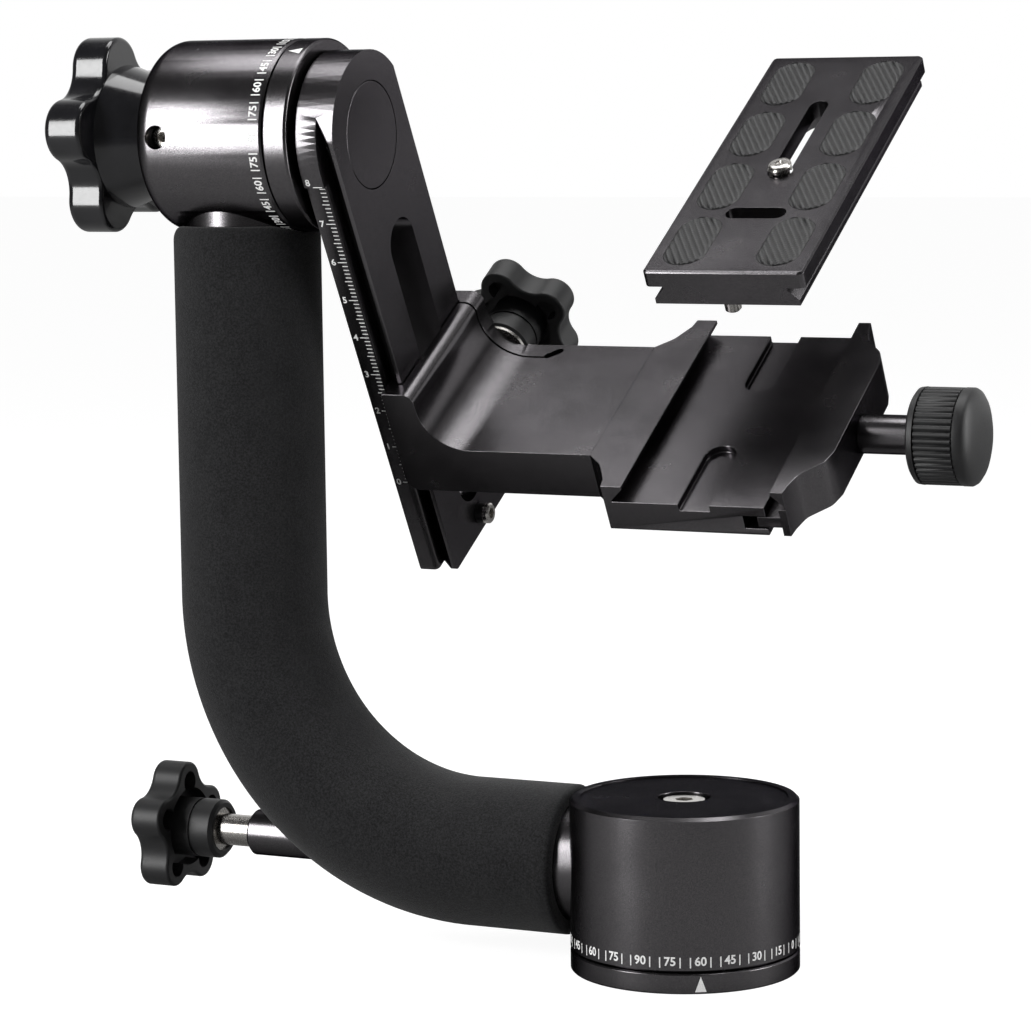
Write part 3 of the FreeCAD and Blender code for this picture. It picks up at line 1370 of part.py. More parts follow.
def plate_stop_pin():
    """The pin under the plate's near end that keeps it from sliding out of the clamp."""
    body = plate_body("plate_stop_pin")
    edge = z.drum_edge / 2
    body_length = z.plate_pin_height * 2 - edge
    start = -z.plate_height + z.plate_pin_height
    add_cylinder(body, (0, z.plate_pin_v, start), DOWN, z.plate_pin_radius, body_length)
    add_cone(body, (0, z.plate_pin_v, start - body_length), DOWN, z.plate_pin_radius,
             z.plate_pin_radius - edge, edge)


def screw_retaining_washer():
    """The washer on the camera screw's neck, which slides in the plate's counterbore."""
    body = new_body("screw_retaining_washer", (0, z.plate_v + z.camera_screw_v, z.plate_w), cradle=True)
    top = screw_seat - z.thrust_gap
    turn_profile(body, ring_profile(z.camera_neck_radius + z.seat_fit, z.camera_head_radius,
                                    top - z.screw_washer_thickness, top), "V")


def camera_screw():
    """The screw that holds the camera: its neck is narrow enough to slide along the slot."""
    body = new_body("camera_screw", (0, z.plate_v + z.camera_screw_v, z.plate_w), cradle=True)
    head_top = screw_seat - z.thrust_gap * 2 - z.screw_washer_thickness
    head = head_top - z.camera_head_height
    edge = z.drum_edge / 2
    top = z.camera_thread_height
    turn_profile(body, [(0, head), (z.camera_head_radius - edge, head),
                        (z.camera_head_radius, head + edge), (z.camera_head_radius, head_top),
                        (z.camera_neck_radius, head_top), (z.camera_neck_radius, z.free_gap),
                        (z.camera_thread_radius, z.free_gap), (z.camera_thread_radius, top - edge),
                        (z.camera_thread_radius - edge, top), (0, top)], "V")
    coin = new_sketch(body, "XY", head)
    draw_polygon(coin, [(-z.camera_head_radius, -edge), (z.camera_head_radius, -edge),
                        (z.camera_head_radius, edge), (-z.camera_head_radius, edge)])
    pocket(body, coin, z.drum_edge * 1.5, backwards=True)


def check_document():
    """Stop if a feature failed, a cut removed nothing or a piece isn't a valid solid."""
    for thing in doc.Objects:
        if "Invalid" in thing.State or "Error" in thing.State:
            raise ValueError("%s is %s" % (thing.Name, thing.State))
        if thing.TypeId in ("PartDesign::Pocket", "PartDesign::Groove"):
            before = thing.BaseFeature.Shape.Volume
            if thing.Shape.Volume > before - 0.01:
                raise ValueError(thing.Name + " cuts nothing")
    for body in parts:
        if body.Shape.isNull() or not body.Shape.isValid() or not body.Shape.Solids:
            raise ValueError(body.Label + " has no valid solid")


def build():
    base_disc()
    base_disc_screws()
    tripod_thread_insert()
    pan_spindle()
    pan_lower_bush()
    pan_upper_bush()
    spindle_washer()
    spindle_bolt()
    pan_drum()
    pan_drum_cap()
    arm_tube()
    foam_grip()
    pan_lock_sleeve()
    pan_brake_shoe()
    pan_lock_rod()
    pan_lock_knob()
    tilt_drum()
    drum_set_screw()
    tilt_bush("tilt_bush_left", drum_left_x, z.left_bush_length)
    tilt_bush("tilt_bush_right", drum_right_x - z.right_bush_length, z.right_bush_length)
    index_ring()
    tilt_friction_washer()
    index_spacer()
    tilt_spindle()
    spindle_flange_screws()
    tilt_thrust_washer()
    tilt_lock_knob()
    tilt_knob_insert()
    swing_rail()
    rail_cap_disc()
    safety_stop_collar()
    safety_stop_screw()
    platform_bracket()
    clamp_studs()
    clamp_base()
    clamp_jaw()
    clamp_screw()
    clamp_knob_sleeve()
    clamp_knob()
    rail_lock_screw()
    rail_lock_knob()
    rail_lock_washer()
    quick_plate()
    rubber_pads()
    plate_stop_pin()
    screw_retaining_washer()
    camera_screw()


build()
doc.recompute()
check_document()
os.makedirs("parts", exist_ok=True)
for part in parts:
    part.Shape.exportStep("parts/%s.step" % part.Label)
    print("%-24s %10.1f mm3  %d solids" % (part.Label, part.Shape.Volume, len(part.Shape.Solids)))
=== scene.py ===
"""Looks of the gimbal tripod head: finishes, foam sleeve, printed scales, pads and threads.

Every piece is placed in metres in the head's own frame. The cradle frame of the swinging pieces
has its origin on the tilt axis and is turned about X by the tilt angle of the rest pose.
"""
import json
import math

import bmesh
import bpy
from bpy.props import FloatProperty, FloatVectorProperty, IntProperty, PointerProperty
from mathutils import Matrix, Vector

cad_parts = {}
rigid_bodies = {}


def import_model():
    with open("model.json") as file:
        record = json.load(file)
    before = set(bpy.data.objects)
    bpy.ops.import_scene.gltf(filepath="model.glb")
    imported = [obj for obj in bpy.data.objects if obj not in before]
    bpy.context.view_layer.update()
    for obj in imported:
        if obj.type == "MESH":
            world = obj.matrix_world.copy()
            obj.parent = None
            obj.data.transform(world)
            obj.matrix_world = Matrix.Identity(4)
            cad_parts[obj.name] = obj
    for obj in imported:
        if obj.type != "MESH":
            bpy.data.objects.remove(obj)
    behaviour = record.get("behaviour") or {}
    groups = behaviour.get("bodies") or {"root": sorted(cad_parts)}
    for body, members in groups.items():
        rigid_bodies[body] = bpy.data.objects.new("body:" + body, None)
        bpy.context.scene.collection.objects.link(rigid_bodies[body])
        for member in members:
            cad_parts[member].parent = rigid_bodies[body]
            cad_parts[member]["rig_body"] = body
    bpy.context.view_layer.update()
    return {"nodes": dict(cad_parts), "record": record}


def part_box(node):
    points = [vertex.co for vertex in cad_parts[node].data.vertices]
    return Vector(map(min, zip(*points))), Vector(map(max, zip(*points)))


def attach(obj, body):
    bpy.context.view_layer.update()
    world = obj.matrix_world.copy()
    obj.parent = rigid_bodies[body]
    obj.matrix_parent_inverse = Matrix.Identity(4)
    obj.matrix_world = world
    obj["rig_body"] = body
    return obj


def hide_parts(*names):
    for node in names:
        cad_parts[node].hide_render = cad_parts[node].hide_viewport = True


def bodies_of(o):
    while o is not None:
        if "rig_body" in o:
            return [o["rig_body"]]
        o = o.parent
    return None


bl_info = {
    "name": "Gimbal Head",
    "version": (1, 0, 0),
    "blender": (4, 5, 0),
    "location": "View3D > Sidebar > Gimbal",
    "description": "Dresses the gimbal tripod head and sets its studio",
    "category": "Object",
}

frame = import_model()
FINISHES = {}

MM = 0.001
FULL_TURN = 2 * math.pi
TILT_ANGLE = math.radians(30)
TILT_AXIS = Vector((0, 0, 200.5 * MM))
CRADLE = Matrix.Translation(TILT_AXIS) @ Matrix.Rotation(TILT_ANGLE, 4, "X")

# The photographed view: angles in degrees, focal length in pixels of a frame 1034 pixels high
VIEW_AZIMUTH = 25.222
VIEW_ELEVATION = 6.739
VIEW_ROLL = -0.718
VIEW_FOCAL = 3559.45
VIEW_HEIGHT = 1034
VIEW_DISTANCE = 866.74 * MM
VIEW_TARGET = Vector((-43.89, 0, 107.68)) * MM


def length(name, description, value):
    """A length that a user may change, in metres."""
    return FloatProperty(name=name, description=description, default=value, unit="LENGTH",
                         subtype="DISTANCE", precision=5)


def colour(name, description, value):
    """A linear colour that a user may change."""
    return FloatVectorProperty(name=name, description=description, default=value, size=3,
                               min=0.0, max=1.0, subtype="COLOR")


class HeadSizes(bpy.types.PropertyGroup):
    """Sizes of the dressed pieces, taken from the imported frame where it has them."""

    pan_radius: length("Pan radius", "Radius of the pan drum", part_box("pan_drum")[1].x)
    tilt_radius: length("Tilt radius", "Radius of the tilt drum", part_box("tilt_drum")[1].y)
    foam_radius: length("Foam radius", "Outer radius of the foam sleeve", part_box("foam_grip")[1].y)
    foam_bore: length("Foam bore", "Inner radius of the foam sleeve", 15.1 * MM)
    foam_end: length("Foam end", "Rounding of the sleeve's upper end", 3.6 * MM)
    bend_radius: length("Bend radius", "Centre-line radius of the arm's bend", 61.5 * MM)
    print_height: length("Numeral height", "Height of the printed numerals", 2.9 * MM)
    print_proud: length("Print thickness", "How far the print stands out", 0.03 * MM)
    rib_depth: length("Pad rib depth", "Depth of the pads' diamond ribs", 0.4 * MM)
    rib_pitch: length("Pad rib pitch", "Distance between the pads' ribs", 1.55 * MM)
    edge_width: length("Edge break", "Width of the broken edges of machined pieces", 0.3 * MM)
    thread_pitch: length("Thread pitch", "Pitch of the camera screw", 1.27 * MM)


class HeadColours(bpy.types.PropertyGroup):
    """Colours of the finishes."""

    anodised: colour("Anodised", "Black anodised aluminium", (0.11, 0.105, 0.111))
    anodised_grain: colour("Anodised grain", "Lighter grains of the anodised skin", (0.2, 0.192, 0.198))
    foam: colour("Foam", "Closed-cell foam", (0.0025, 0.0025, 0.003))
    foam_fleck: colour("Foam fleck", "Lighter cells of the foam", (0.02, 0.02, 0.0215))
    knob: colour("Knob", "Matte moulded knobs", (0.009, 0.009, 0.0095))
    gloss: colour("Gloss knob", "Glossy moulded knob", (0.006, 0.006, 0.007))
    steel: colour("Steel", "Turned steel", (0.62, 0.6, 0.57))
    brass: colour("Brass", "Turned brass", (0.68, 0.47, 0.2))
    nylon: colour("Nylon", "Natural nylon", (0.6, 0.58, 0.52))
    rubber: colour("Rubber", "Ribbed rubber", (0.006, 0.006, 0.0065))
    print: colour("Print", "White printed numerals", (0.93, 0.93, 0.92))


class StageSettings(bpy.types.PropertyGroup):
    """Strengths of the studio's lamps and surroundings."""

    world: FloatProperty(name="World", description="Light from the surroundings", default=0.25)
    backdrop: FloatProperty(name="Backdrop", description="White of the background", default=1.0)
    left_lamp: FloatProperty(name="Left lamp", description="Tall lamp at the left", default=13.0)
    right_lamp: FloatProperty(name="Right lamp", description="Tall lamp at the right", default=10.0)
    top_lamp: FloatProperty(name="Top lamp", description="Lamp overhead", default=5.0)
    knurls: IntProperty(name="Ribs", description="Ribs of the clamp knob", default=44)


def node_tree(name):
    """A new material and its shader, ready for textures on Object coordinates."""
    material = bpy.data.materials.new(name)
    material.use_nodes = True
    tree = material.node_tree
    tree.nodes.clear()
    output = tree.nodes.new("ShaderNodeOutputMaterial")
    shader = tree.nodes.new("ShaderNodeBsdfPrincipled")
    place = tree.nodes.new("ShaderNodeTexCoord")
    tree.links.new(shader.outputs["BSDF"], output.inputs["Surface"])
    return material, tree, shader, place.outputs["Object"]


def noise(tree, place, size, detail=3.0, rough=0.55, stretch=None):
    """Noise whose grains are about size across; stretch scales it along an axis."""
    if stretch is not None:
        mapping = tree.nodes.new("ShaderNodeMapping")
        mapping.inputs["Scale"].default_value = stretch
        tree.links.new(place, mapping.inputs["Vector"])
        place = mapping.outputs["Vector"]
    texture = tree.nodes.new("ShaderNodeTexNoise")
    texture.inputs["Scale"].default_value = 1.0 / size
    texture.inputs["Detail"].default_value = detail
    texture.inputs["Roughness"].default_value = rough
    tree.links.new(place, texture.inputs["Vector"])
    return texture.outputs["Fac"]


def ramp(tree, value, stops):
    """A colour ramp over a value; stops are (position, colour)."""
    node = tree.nodes.new("ShaderNodeValToRGB")
    while len(node.color_ramp.elements) < len(stops):
        node.color_ramp.elements.new(0.5)
    for element, (position, shade) in zip(node.color_ramp.elements, stops):
        element.position = position
        element.color = (*shade, 1.0)
    tree.links.new(value, node.inputs["Fac"])
    return node.outputs["Color"]


def spread(tree, value, low, high):
    """A value between two limits."""
    node = tree.nodes.new("ShaderNodeMapRange")
    node.inputs["From Min"].default_value = 0.3
    node.inputs["From Max"].default_value = 0.7
    node.inputs["To Min"].default_value = low
    node.inputs["To Max"].default_value = high
    tree.links.new(value, node.inputs["Value"])
    return node.outputs["Result"]


def bump(tree, shader, value, strength, distance):
    """Relief on a shader's normal."""
    node = tree.nodes.new("ShaderNodeBump")
    node.inputs["Strength"].default_value = strength
    node.inputs["Distance"].default_value = distance
    tree.links.new(value, node.inputs["Height"])
    tree.links.new(node.outputs["Normal"], shader.inputs["Normal"])


def anodised_black():
    """Bead-blasted black anodising: fine bright grains, a broad gloss and dark edges."""
    tones = bpy.context.scene.head_colours
    material, tree, shader, place = node_tree("anodised_black")
    grain = noise(tree, place, 0.22 * MM, 2.0, 0.7)
    shade = ramp(tree, grain, [(0.38, tones.anodised), (0.72, tones.anodised_grain)])
    tree.links.new(shade, shader.inputs["Base Color"])
    shader.inputs["Metallic"].default_value = 1.0
    shader.inputs["Specular Tint"].default_value = (0.12, 0.12, 0.13, 1.0)
    wear = noise(tree, place, 14 * MM, 4.0, 0.6)
    tree.links.new(spread(tree, wear, 0.22, 0.28), shader.inputs["Roughness"])
    bump(tree, shader, grain, 0.16, 0.05 * MM)
    return material


def closed_cell_foam():
    """Skinned foam: dark, dry and finely pitted, with lighter cells."""
    tones = bpy.context.scene.head_colours
    material, tree, shader, place = node_tree("foam")
    cells = noise(tree, place, 0.5 * MM, 4.0, 0.8)
    shade = ramp(tree, cells, [(0.4, tones.foam), (0.64, tones.foam_fleck)])
    tree.links.new(shade, shader.inputs["Base Color"])
    patches = noise(tree, place, 9 * MM, 3.0, 0.6)
    tree.links.new(spread(tree, patches, 0.82, 0.95), shader.inputs["Roughness"])
    shader.inputs["Specular IOR Level"].default_value = 0.28
    shader.inputs["Sheen Weight"].default_value = 0.12
    shader.inputs["Sheen Roughness"].default_value = 0.5
    bump(tree, shader, cells, 0.6, 0.25 * MM)
    return material


def moulded_matte():
    """Spark-eroded texture of the moulded lock knobs."""
    tones = bpy.context.scene.head_colours
    material, tree, shader, place = node_tree("knob_matte")
    grain = noise(tree, place, 0.3 * MM, 2.0, 0.6)
    lighter = [channel * 1.7 for channel in tones.knob]
    shade = ramp(tree, grain, [(0.4, tones.knob), (0.7, lighter)])
    tree.links.new(shade, shader.inputs["Base Color"])
    tree.links.new(spread(tree, grain, 0.42, 0.55), shader.inputs["Roughness"])
    bump(tree, shader, grain, 0.3, 0.06 * MM)
    return material


def moulded_gloss():
    """Polished moulding with the faint ripple of flow and fine handling marks."""
    tones = bpy.context.scene.head_colours
    material, tree, shader, place = node_tree("knob_gloss")
    flow = noise(tree, place, 7 * MM, 2.0, 0.5)
    lighter = [channel * 1.8 for channel in tones.gloss]
    shade = ramp(tree, flow, [(0.35, tones.gloss), (0.7, lighter)])
    tree.links.new(shade, shader.inputs["Base Color"])
    tree.links.new(spread(tree, noise(tree, place, 1.2 * MM, 4.0), 0.13, 0.2), shader.inputs["Roughness"])
    shader.inputs["Coat Weight"].default_value = 0.4
    shader.inputs["Coat Roughness"].default_value = 0.04
    bump(tree, shader, flow, 0.08, 0.3 * MM)
    return material


def turned_metal(name, shade, low, high):
    """Turned metal with fine rings of tool marks."""
    material, tree, shader, place = node_tree(name)
    marks = noise(tree, place, 0.12 * MM, 3.0, 0.6, (1.0, 0.25, 0.25))
    darker = [channel * 0.72 for channel in shade]
    tree.links.new(ramp(tree, marks, [(0.3, darker), (0.7, shade)]), shader.inputs["Base Color"])
    shader.inputs["Metallic"].default_value = 1.0
    tree.links.new(spread(tree, marks, low, high), shader.inputs["Roughness"])
    bump(tree, shader, marks, 0.12, 0.03 * MM)
    return material


def plain_plastic(name, shade, roughness):
    """Natural nylon or rubber with a fine dull grain."""
    material, tree, shader, place = node_tree(name)
    grain = noise(tree, place, 0.35 * MM, 3.0, 0.6)
    darker = [channel * 0.7 for channel in shade]
    tree.links.new(ramp(tree, grain, [(0.35, darker), (0.68, shade)]), shader.inputs["Base Color"])
    tree.links.new(spread(tree, grain, roughness - 0.08, roughness + 0.06), shader.inputs["Roughness"])
    bump(tree, shader, grain, 0.25, 0.05 * MM)
    return material


def printed_white():
    """Screen-printed ink, thinner in places."""
    tones = bpy.context.scene.head_colours
    material, tree, shader, place = node_tree("printed_white")
    cover = noise(tree, place, 0.25 * MM, 3.0, 0.6)
    thin = [channel * 0.78 for channel in tones.print]
    tree.links.new(ramp(tree, cover, [(0.3, thin), (0.55, tones.print)]), shader.inputs["Base Color"])
    tree.links.new(spread(tree, cover, 0.45, 0.6), shader.inputs["Roughness"])
    return material


def make_finishes():
    """Every finish of the head, by the name of its slot."""
    tones = bpy.context.scene.head_colours
    return {
        "anodised_black": anodised_black(),
        "foam": closed_cell_foam(),
        "knob_matte": moulded_matte(),
        "knob_gloss": moulded_gloss(),
        "steel": turned_metal("steel", tones.steel, 0.16, 0.3),
        "brass": turned_metal("brass", tones.brass, 0.22, 0.36),
        "nylon": plain_plastic("nylon", tones.nylon, 0.5),
        "rubber": plain_plastic("rubber", tones.rubber, 0.45),
        "printed_white": printed_white(),
    }


def finish(name):
    """The material of one finish."""
    return FINISHES[name]


def finish_piece(name, mesh, body, slot, material=None, replaced=(), smooth=35):
    """Turns a bmesh into a piece that rides on a body and wears its finish."""
    data = bpy.data.meshes.new(name)
    mesh.to_mesh(data)
    mesh.free()
    for face in data.polygons:
        face.use_smooth = True
    data.set_sharp_from_angle(angle=math.radians(smooth))
    piece = bpy.data.objects.new(name, data)
    bpy.context.scene.collection.objects.link(piece)
    data.materials.append(finish(material or slot))
    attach(piece, body)
    if replaced:
        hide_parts(*replaced)
    return piece


def break_edges(piece, width, segments=2, angle=34):
    """Rounds a piece's sharp edges, which catch the light on machined parts."""
    bevel = piece.modifiers.new("broken_edges", "BEVEL")
    bevel.width = width
    bevel.segments = segments
    bevel.limit_method = "ANGLE"
    bevel.angle_limit = math.radians(angle)
    bevel.harden_normals = True
    bevel.miter_outer = "MITER_ARC"


def spun(corners, steps):
    """A closed turned shape from (radius, height) corners of its half section."""
    mesh = bmesh.new()
    points = [mesh.verts.new((radius, 0, height)) for radius, height in corners]
    edges = [mesh.edges.new((points[i], points[(i + 1) % len(points)])) for i in range(len(points))]
    bmesh.ops.spin(mesh, geom=points + edges, cent=(0, 0, 0), axis=(0, 0, 1), angle=FULL_TURN,
                   steps=steps, use_merge=True, use_duplicate=False)
    bmesh.ops.remove_doubles(mesh, verts=mesh.verts, dist=1e-7)
    bmesh.ops.recalc_face_normals(mesh, faces=mesh.faces)
    return mesh


def merged_copy(node):
    """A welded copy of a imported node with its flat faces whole."""
    mesh = bmesh.new()
    mesh.from_mesh(frame["nodes"][node].data)
    bmesh.ops.remove_doubles(mesh, verts=mesh.verts, dist=2e-6)
    bmesh.ops.dissolve_limit(mesh, angle_limit=math.radians(0.4), verts=mesh.verts, edges=mesh.edges)
    return mesh


def body_of(node):
    """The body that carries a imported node."""
    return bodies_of(frame["nodes"][node])[0]


def flat_text(words, size):
    """Printed characters as a flat bmesh centred on the origin, as tall as size."""
    curve = bpy.data.curves.new("print", "FONT")
    curve.body = words
    curve.size = size
    curve.align_x = "CENTER"
    curve.align_y = "CENTER"
    curve.offset = size * 0.022
    curve.resolution_u = 3
    holder = bpy.data.objects.new("print", curve)
    data = bpy.data.meshes.new_from_object(holder)
    mesh = bmesh.new()
    mesh.from_mesh(data)
    bmesh.ops.remove_doubles(mesh, verts=mesh.verts, dist=1e-7)
    bpy.data.objects.remove(holder)
    bpy.data.curves.remove(curve)
    bpy.data.meshes.remove(data)
    return mesh


def flat_bar(width, height):
    """A printed tick, centred on the origin."""
    mesh = bmesh.new()
    bmesh.ops.create_grid(mesh, x_segments=1, y_segments=2, size=0.5)
    bmesh.ops.scale(mesh, verts=mesh.verts, vec=(width, height, 1))
    return mesh


def flat_triangle(width, height):
    """A printed pointer whose tip points up."""
    mesh = bmesh.new()
    bmesh.ops.create_circle(mesh, cap_ends=True, segments=3, radius=1)
    for vertex in mesh.verts:
        up = vertex.co.y > 0.5
        side = 0 if up else math.copysign(width / 2, vertex.co.x)
        vertex.co = Vector((side, height / 2 if up else -height / 2, 0))
    return mesh


def thicken(mesh, depth):
    """Gives flat print its thickness, outwards along Z."""
    out = bmesh.ops.extrude_face_region(mesh, geom=list(mesh.faces))
    raised = [item for item in out["geom"] if isinstance(item, bmesh.types.BMVert)]
    bmesh.ops.translate(mesh, verts=raised, vec=(0, 0, depth))
    bmesh.ops.recalc_face_normals(mesh, faces=mesh.faces)


def join(target, mesh):
    """Adds one bmesh to another."""
    data = bpy.data.meshes.new("joined")
    mesh.to_mesh(data)
    mesh.free()
    target.from_mesh(data)
    bpy.data.meshes.remove(data)


def wrap(mesh, radius, angle, height):
    """Bends flat print onto an upright drum; angle runs from -Y towards +X."""
    for vertex in mesh.verts:
        turn = angle + vertex.co.x / radius
        reach = radius + vertex.co.z
        vertex.co = Vector((math.sin(turn) * reach, -math.cos(turn) * reach, height + vertex.co.y))


class GIMBAL_OT_finishes(bpy.types.Operator):
    """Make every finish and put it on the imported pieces"""

    bl_idname = "gimbal.finishes"
    bl_label = "Finishes"

    def execute(self, context):
        FINISHES.update(make_finishes())
        slots = {row["node"]: row["material_slot"] for row in frame["record"]["subparts"]}
        for name, node in frame["nodes"].items():
            node.data.materials.clear()
            node.data.materials.append(FINISHES[slots[name]])
        return {"FINISHED"}


class GIMBAL_OT_machined_parts(bpy.types.Operator):
    """Break the sharp edges of the machined pieces"""

    bl_idname = "gimbal.machined_parts"
    bl_label = "Machined Parts"

    def execute(self, context):
        width = context.scene.head_sizes.edge_width
        widths = {
            "base_disc": 0.8, "pan_drum": 1.2, "pan_drum_cap": 0.8, "tilt_drum": 0.8,
            "index_ring": 0.8, "index_spacer": 0.8, "swing_rail": 1.4, "rail_cap_disc": 0.7,
            "platform_bracket": 1.4, "clamp_base": 1.4, "clamp_jaw": 2.2, "quick_plate": 1.2,
            "clamp_knob_sleeve": 0.8,
        }
        for node, share in widths.items():
            piece = finish_piece(node + "_machined", merged_copy(node), body_of(node),
                                 "anodised_black", replaced=[node])
            break_edges(piece, width * share)
        return {"FINISHED"}


class GIMBAL_OT_foam_grip(bpy.types.Operator):
    """Make the foam sleeve round the bent arm"""

    bl_idname = "gimbal.foam_grip"
    bl_label = "Foam Grip"

    def execute(self, context):
        sizes = context.scene.head_sizes
        low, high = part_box("foam_grip")
        start_x = high.x
        top_z = high.z
        arm_z = low.z + sizes.foam_radius
        upright_x = low.x + sizes.foam_radius
        bend_x = upright_x + sizes.bend_radius
        knee_z = arm_z + sizes.bend_radius
        mesh = bmesh.new()
        ring = bmesh.ops.create_circle(mesh, segments=72, radius=sizes.foam_bore)["verts"]
        bmesh.ops.rotate(mesh, verts=ring, cent=(0, 0, 0), matrix=Matrix.Rotation(math.pi / 2, 3, "Y"))
        bmesh.ops.translate(mesh, verts=ring, vec=(start_x, 0, arm_z))
        edges = list(mesh.edges)
        edges = self.swell(mesh, edges, (start_x, 0, arm_z), 1.2)
        for _ in range(10):
            edges = self.slide(mesh, edges, ((bend_x - start_x) / 10, 0, 0))
        turned = bmesh.ops.spin(mesh, geom=edges, cent=(bend_x, 0, knee_z), axis=(0, 1, 0),
                                angle=math.pi / 2, steps=40, use_duplicate=False)
        edges = [item for item in turned["geom_last"] if isinstance(item, bmesh.types.BMEdge)]
        rise = top_z - sizes.foam_end - knee_z
        for _ in range(26):
            edges = self.slide(mesh, edges, (0, 0, rise / 26))
        self.round_end(mesh, edges, sizes, Vector((upright_x, 0, top_z)))
        saddle = sizes.tilt_radius + 0.3 * MM
        for vertex in mesh.verts:
            self.clear_drum(vertex, saddle)
        bmesh.ops.recalc_face_normals(mesh, faces=mesh.faces)
        foam = finish_piece("foam_grip_sleeve", mesh, "arm", "foam", replaced=["foam_grip"], smooth=60)
        return {"FINISHED"}

    def slide(self, mesh, edges, step):
        """One more stretch of sleeve; returns its open end."""
        out = bmesh.ops.extrude_edge_only(mesh, edges=edges)["geom"]
        points = [item for item in out if isinstance(item, bmesh.types.BMVert)]
        bmesh.ops.translate(mesh, verts=points, vec=step)
        return [item for item in out if isinstance(item, bmesh.types.BMEdge)]

    def swell(self, mesh, edges, centre, corner):
        """Opens the bore's ring out to the sleeve's rounded lower end."""
        sizes = bpy.context.scene.head_sizes
        edges = self.slide(mesh, edges, (0, 0, 0))
        points = {vertex for edge in edges for vertex in edge.verts}
        share = (sizes.foam_radius - corner * MM) / sizes.foam_bore
        spot = Matrix.Translation(-Vector(centre))
        bmesh.ops.scale(mesh, verts=list(points), vec=(1, share, share), space=spot)
        edges = self.slide(mesh, edges, (-corner * MM * 0.3, 0, 0))
        points = {vertex for edge in edges for vertex in edge.verts}
        grown = (sizes.foam_radius - corner * MM * 0.3) / (sizes.foam_radius - corner * MM)
        bmesh.ops.scale(mesh, verts=list(points), vec=(1, grown, grown), space=spot)
        edges = self.slide(mesh, edges, (-corner * MM * 0.7, 0, 0))
        points = {vertex for edge in edges for vertex in edge.verts}
        grown = sizes.foam_radius / (sizes.foam_radius - corner * MM * 0.3)
        bmesh.ops.scale(mesh, verts=list(points), vec=(1, grown, grown), space=spot)
        return edges

    def round_end(self, mesh, edges, sizes, top):
        """Rolls the upper end over and back down inside the bore."""
        spot = Matrix.Translation(-top)
        inner = sizes.foam_bore
        reach = sizes.foam_radius
        steps = 6
        for i in range(1, steps + 1):
            turn = math.pi / 2 * i / steps
            before = math.pi / 2 * (i - 1) / steps
            rise = sizes.foam_end * (math.sin(turn) - math.sin(before))
            edges = self.slide(mesh, edges, (0, 0, rise))
            radius = sizes.foam_radius - (sizes.foam_radius - inner) * 0.72 * (1 - math.cos(turn))
            points = list({vertex for edge in edges for vertex in edge.verts})
            bmesh.ops.scale(mesh, verts=points, vec=(radius / reach, radius / reach, 1), space=spot)
            reach = radius
        edges = self.slide(mesh, edges, (0, 0, -0.2 * MM))
        points = list({vertex for edge in edges for vertex in edge.verts})
        bmesh.ops.scale(mesh, verts=points, vec=(inner / reach, inner / reach, 1), space=spot)
        self.slide(mesh, edges, (0, 0, -6 * MM))

    def clear_drum(self, vertex, saddle):
        """Presses the end down where it meets the drum."""
        rise = vertex.co.z - TILT_AXIS.z
        if -saddle < rise < 0 and abs(vertex.co.y) < saddle:
            under = -math.sqrt(saddle * saddle - vertex.co.y * vertex.co.y)
            if rise > under and abs(vertex.co.y) < 12 * MM:
                vertex.co.z = TILT_AXIS.z + under


class GIMBAL_OT_pan_scale(bpy.types.Operator):
    """Print the pan scale and its pointer"""

    bl_idname = "gimbal.pan_scale"
    bl_label = "Pan Scale"

    def execute(self, context):
        sizes = context.scene.head_sizes
        radius = sizes.pan_radius + 0.005 * MM
        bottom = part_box("pan_drum")[0].z
        scale = bmesh.new()
        for step in range(72):
            angle = math.radians(step * 5)
            if step % 3:
                mark = flat_bar(0.3 * MM, 2.5 * MM)
                height = bottom + 2.3 * MM
            else:
                value = 90 - abs((step * 5 + 90) % 180 - 90)
                mark = flat_text(str(value), sizes.print_height)
                height = bottom + 2.5 * MM
            thicken(mark, sizes.print_proud)
            wrap(mark, radius, angle, height)
            join(scale, mark)
        finish_piece("pan_scale_print", scale, "arm", "anodised_black", "printed_white")
        pointer = flat_triangle(2.7 * MM, 3.7 * MM)
        thicken(pointer, sizes.print_proud)
        wrap(pointer, radius, math.radians(30), 2.45 * MM)
        finish_piece("pan_pointer_print", pointer, "base", "anodised_black", "printed_white")
        return {"FINISHED"}


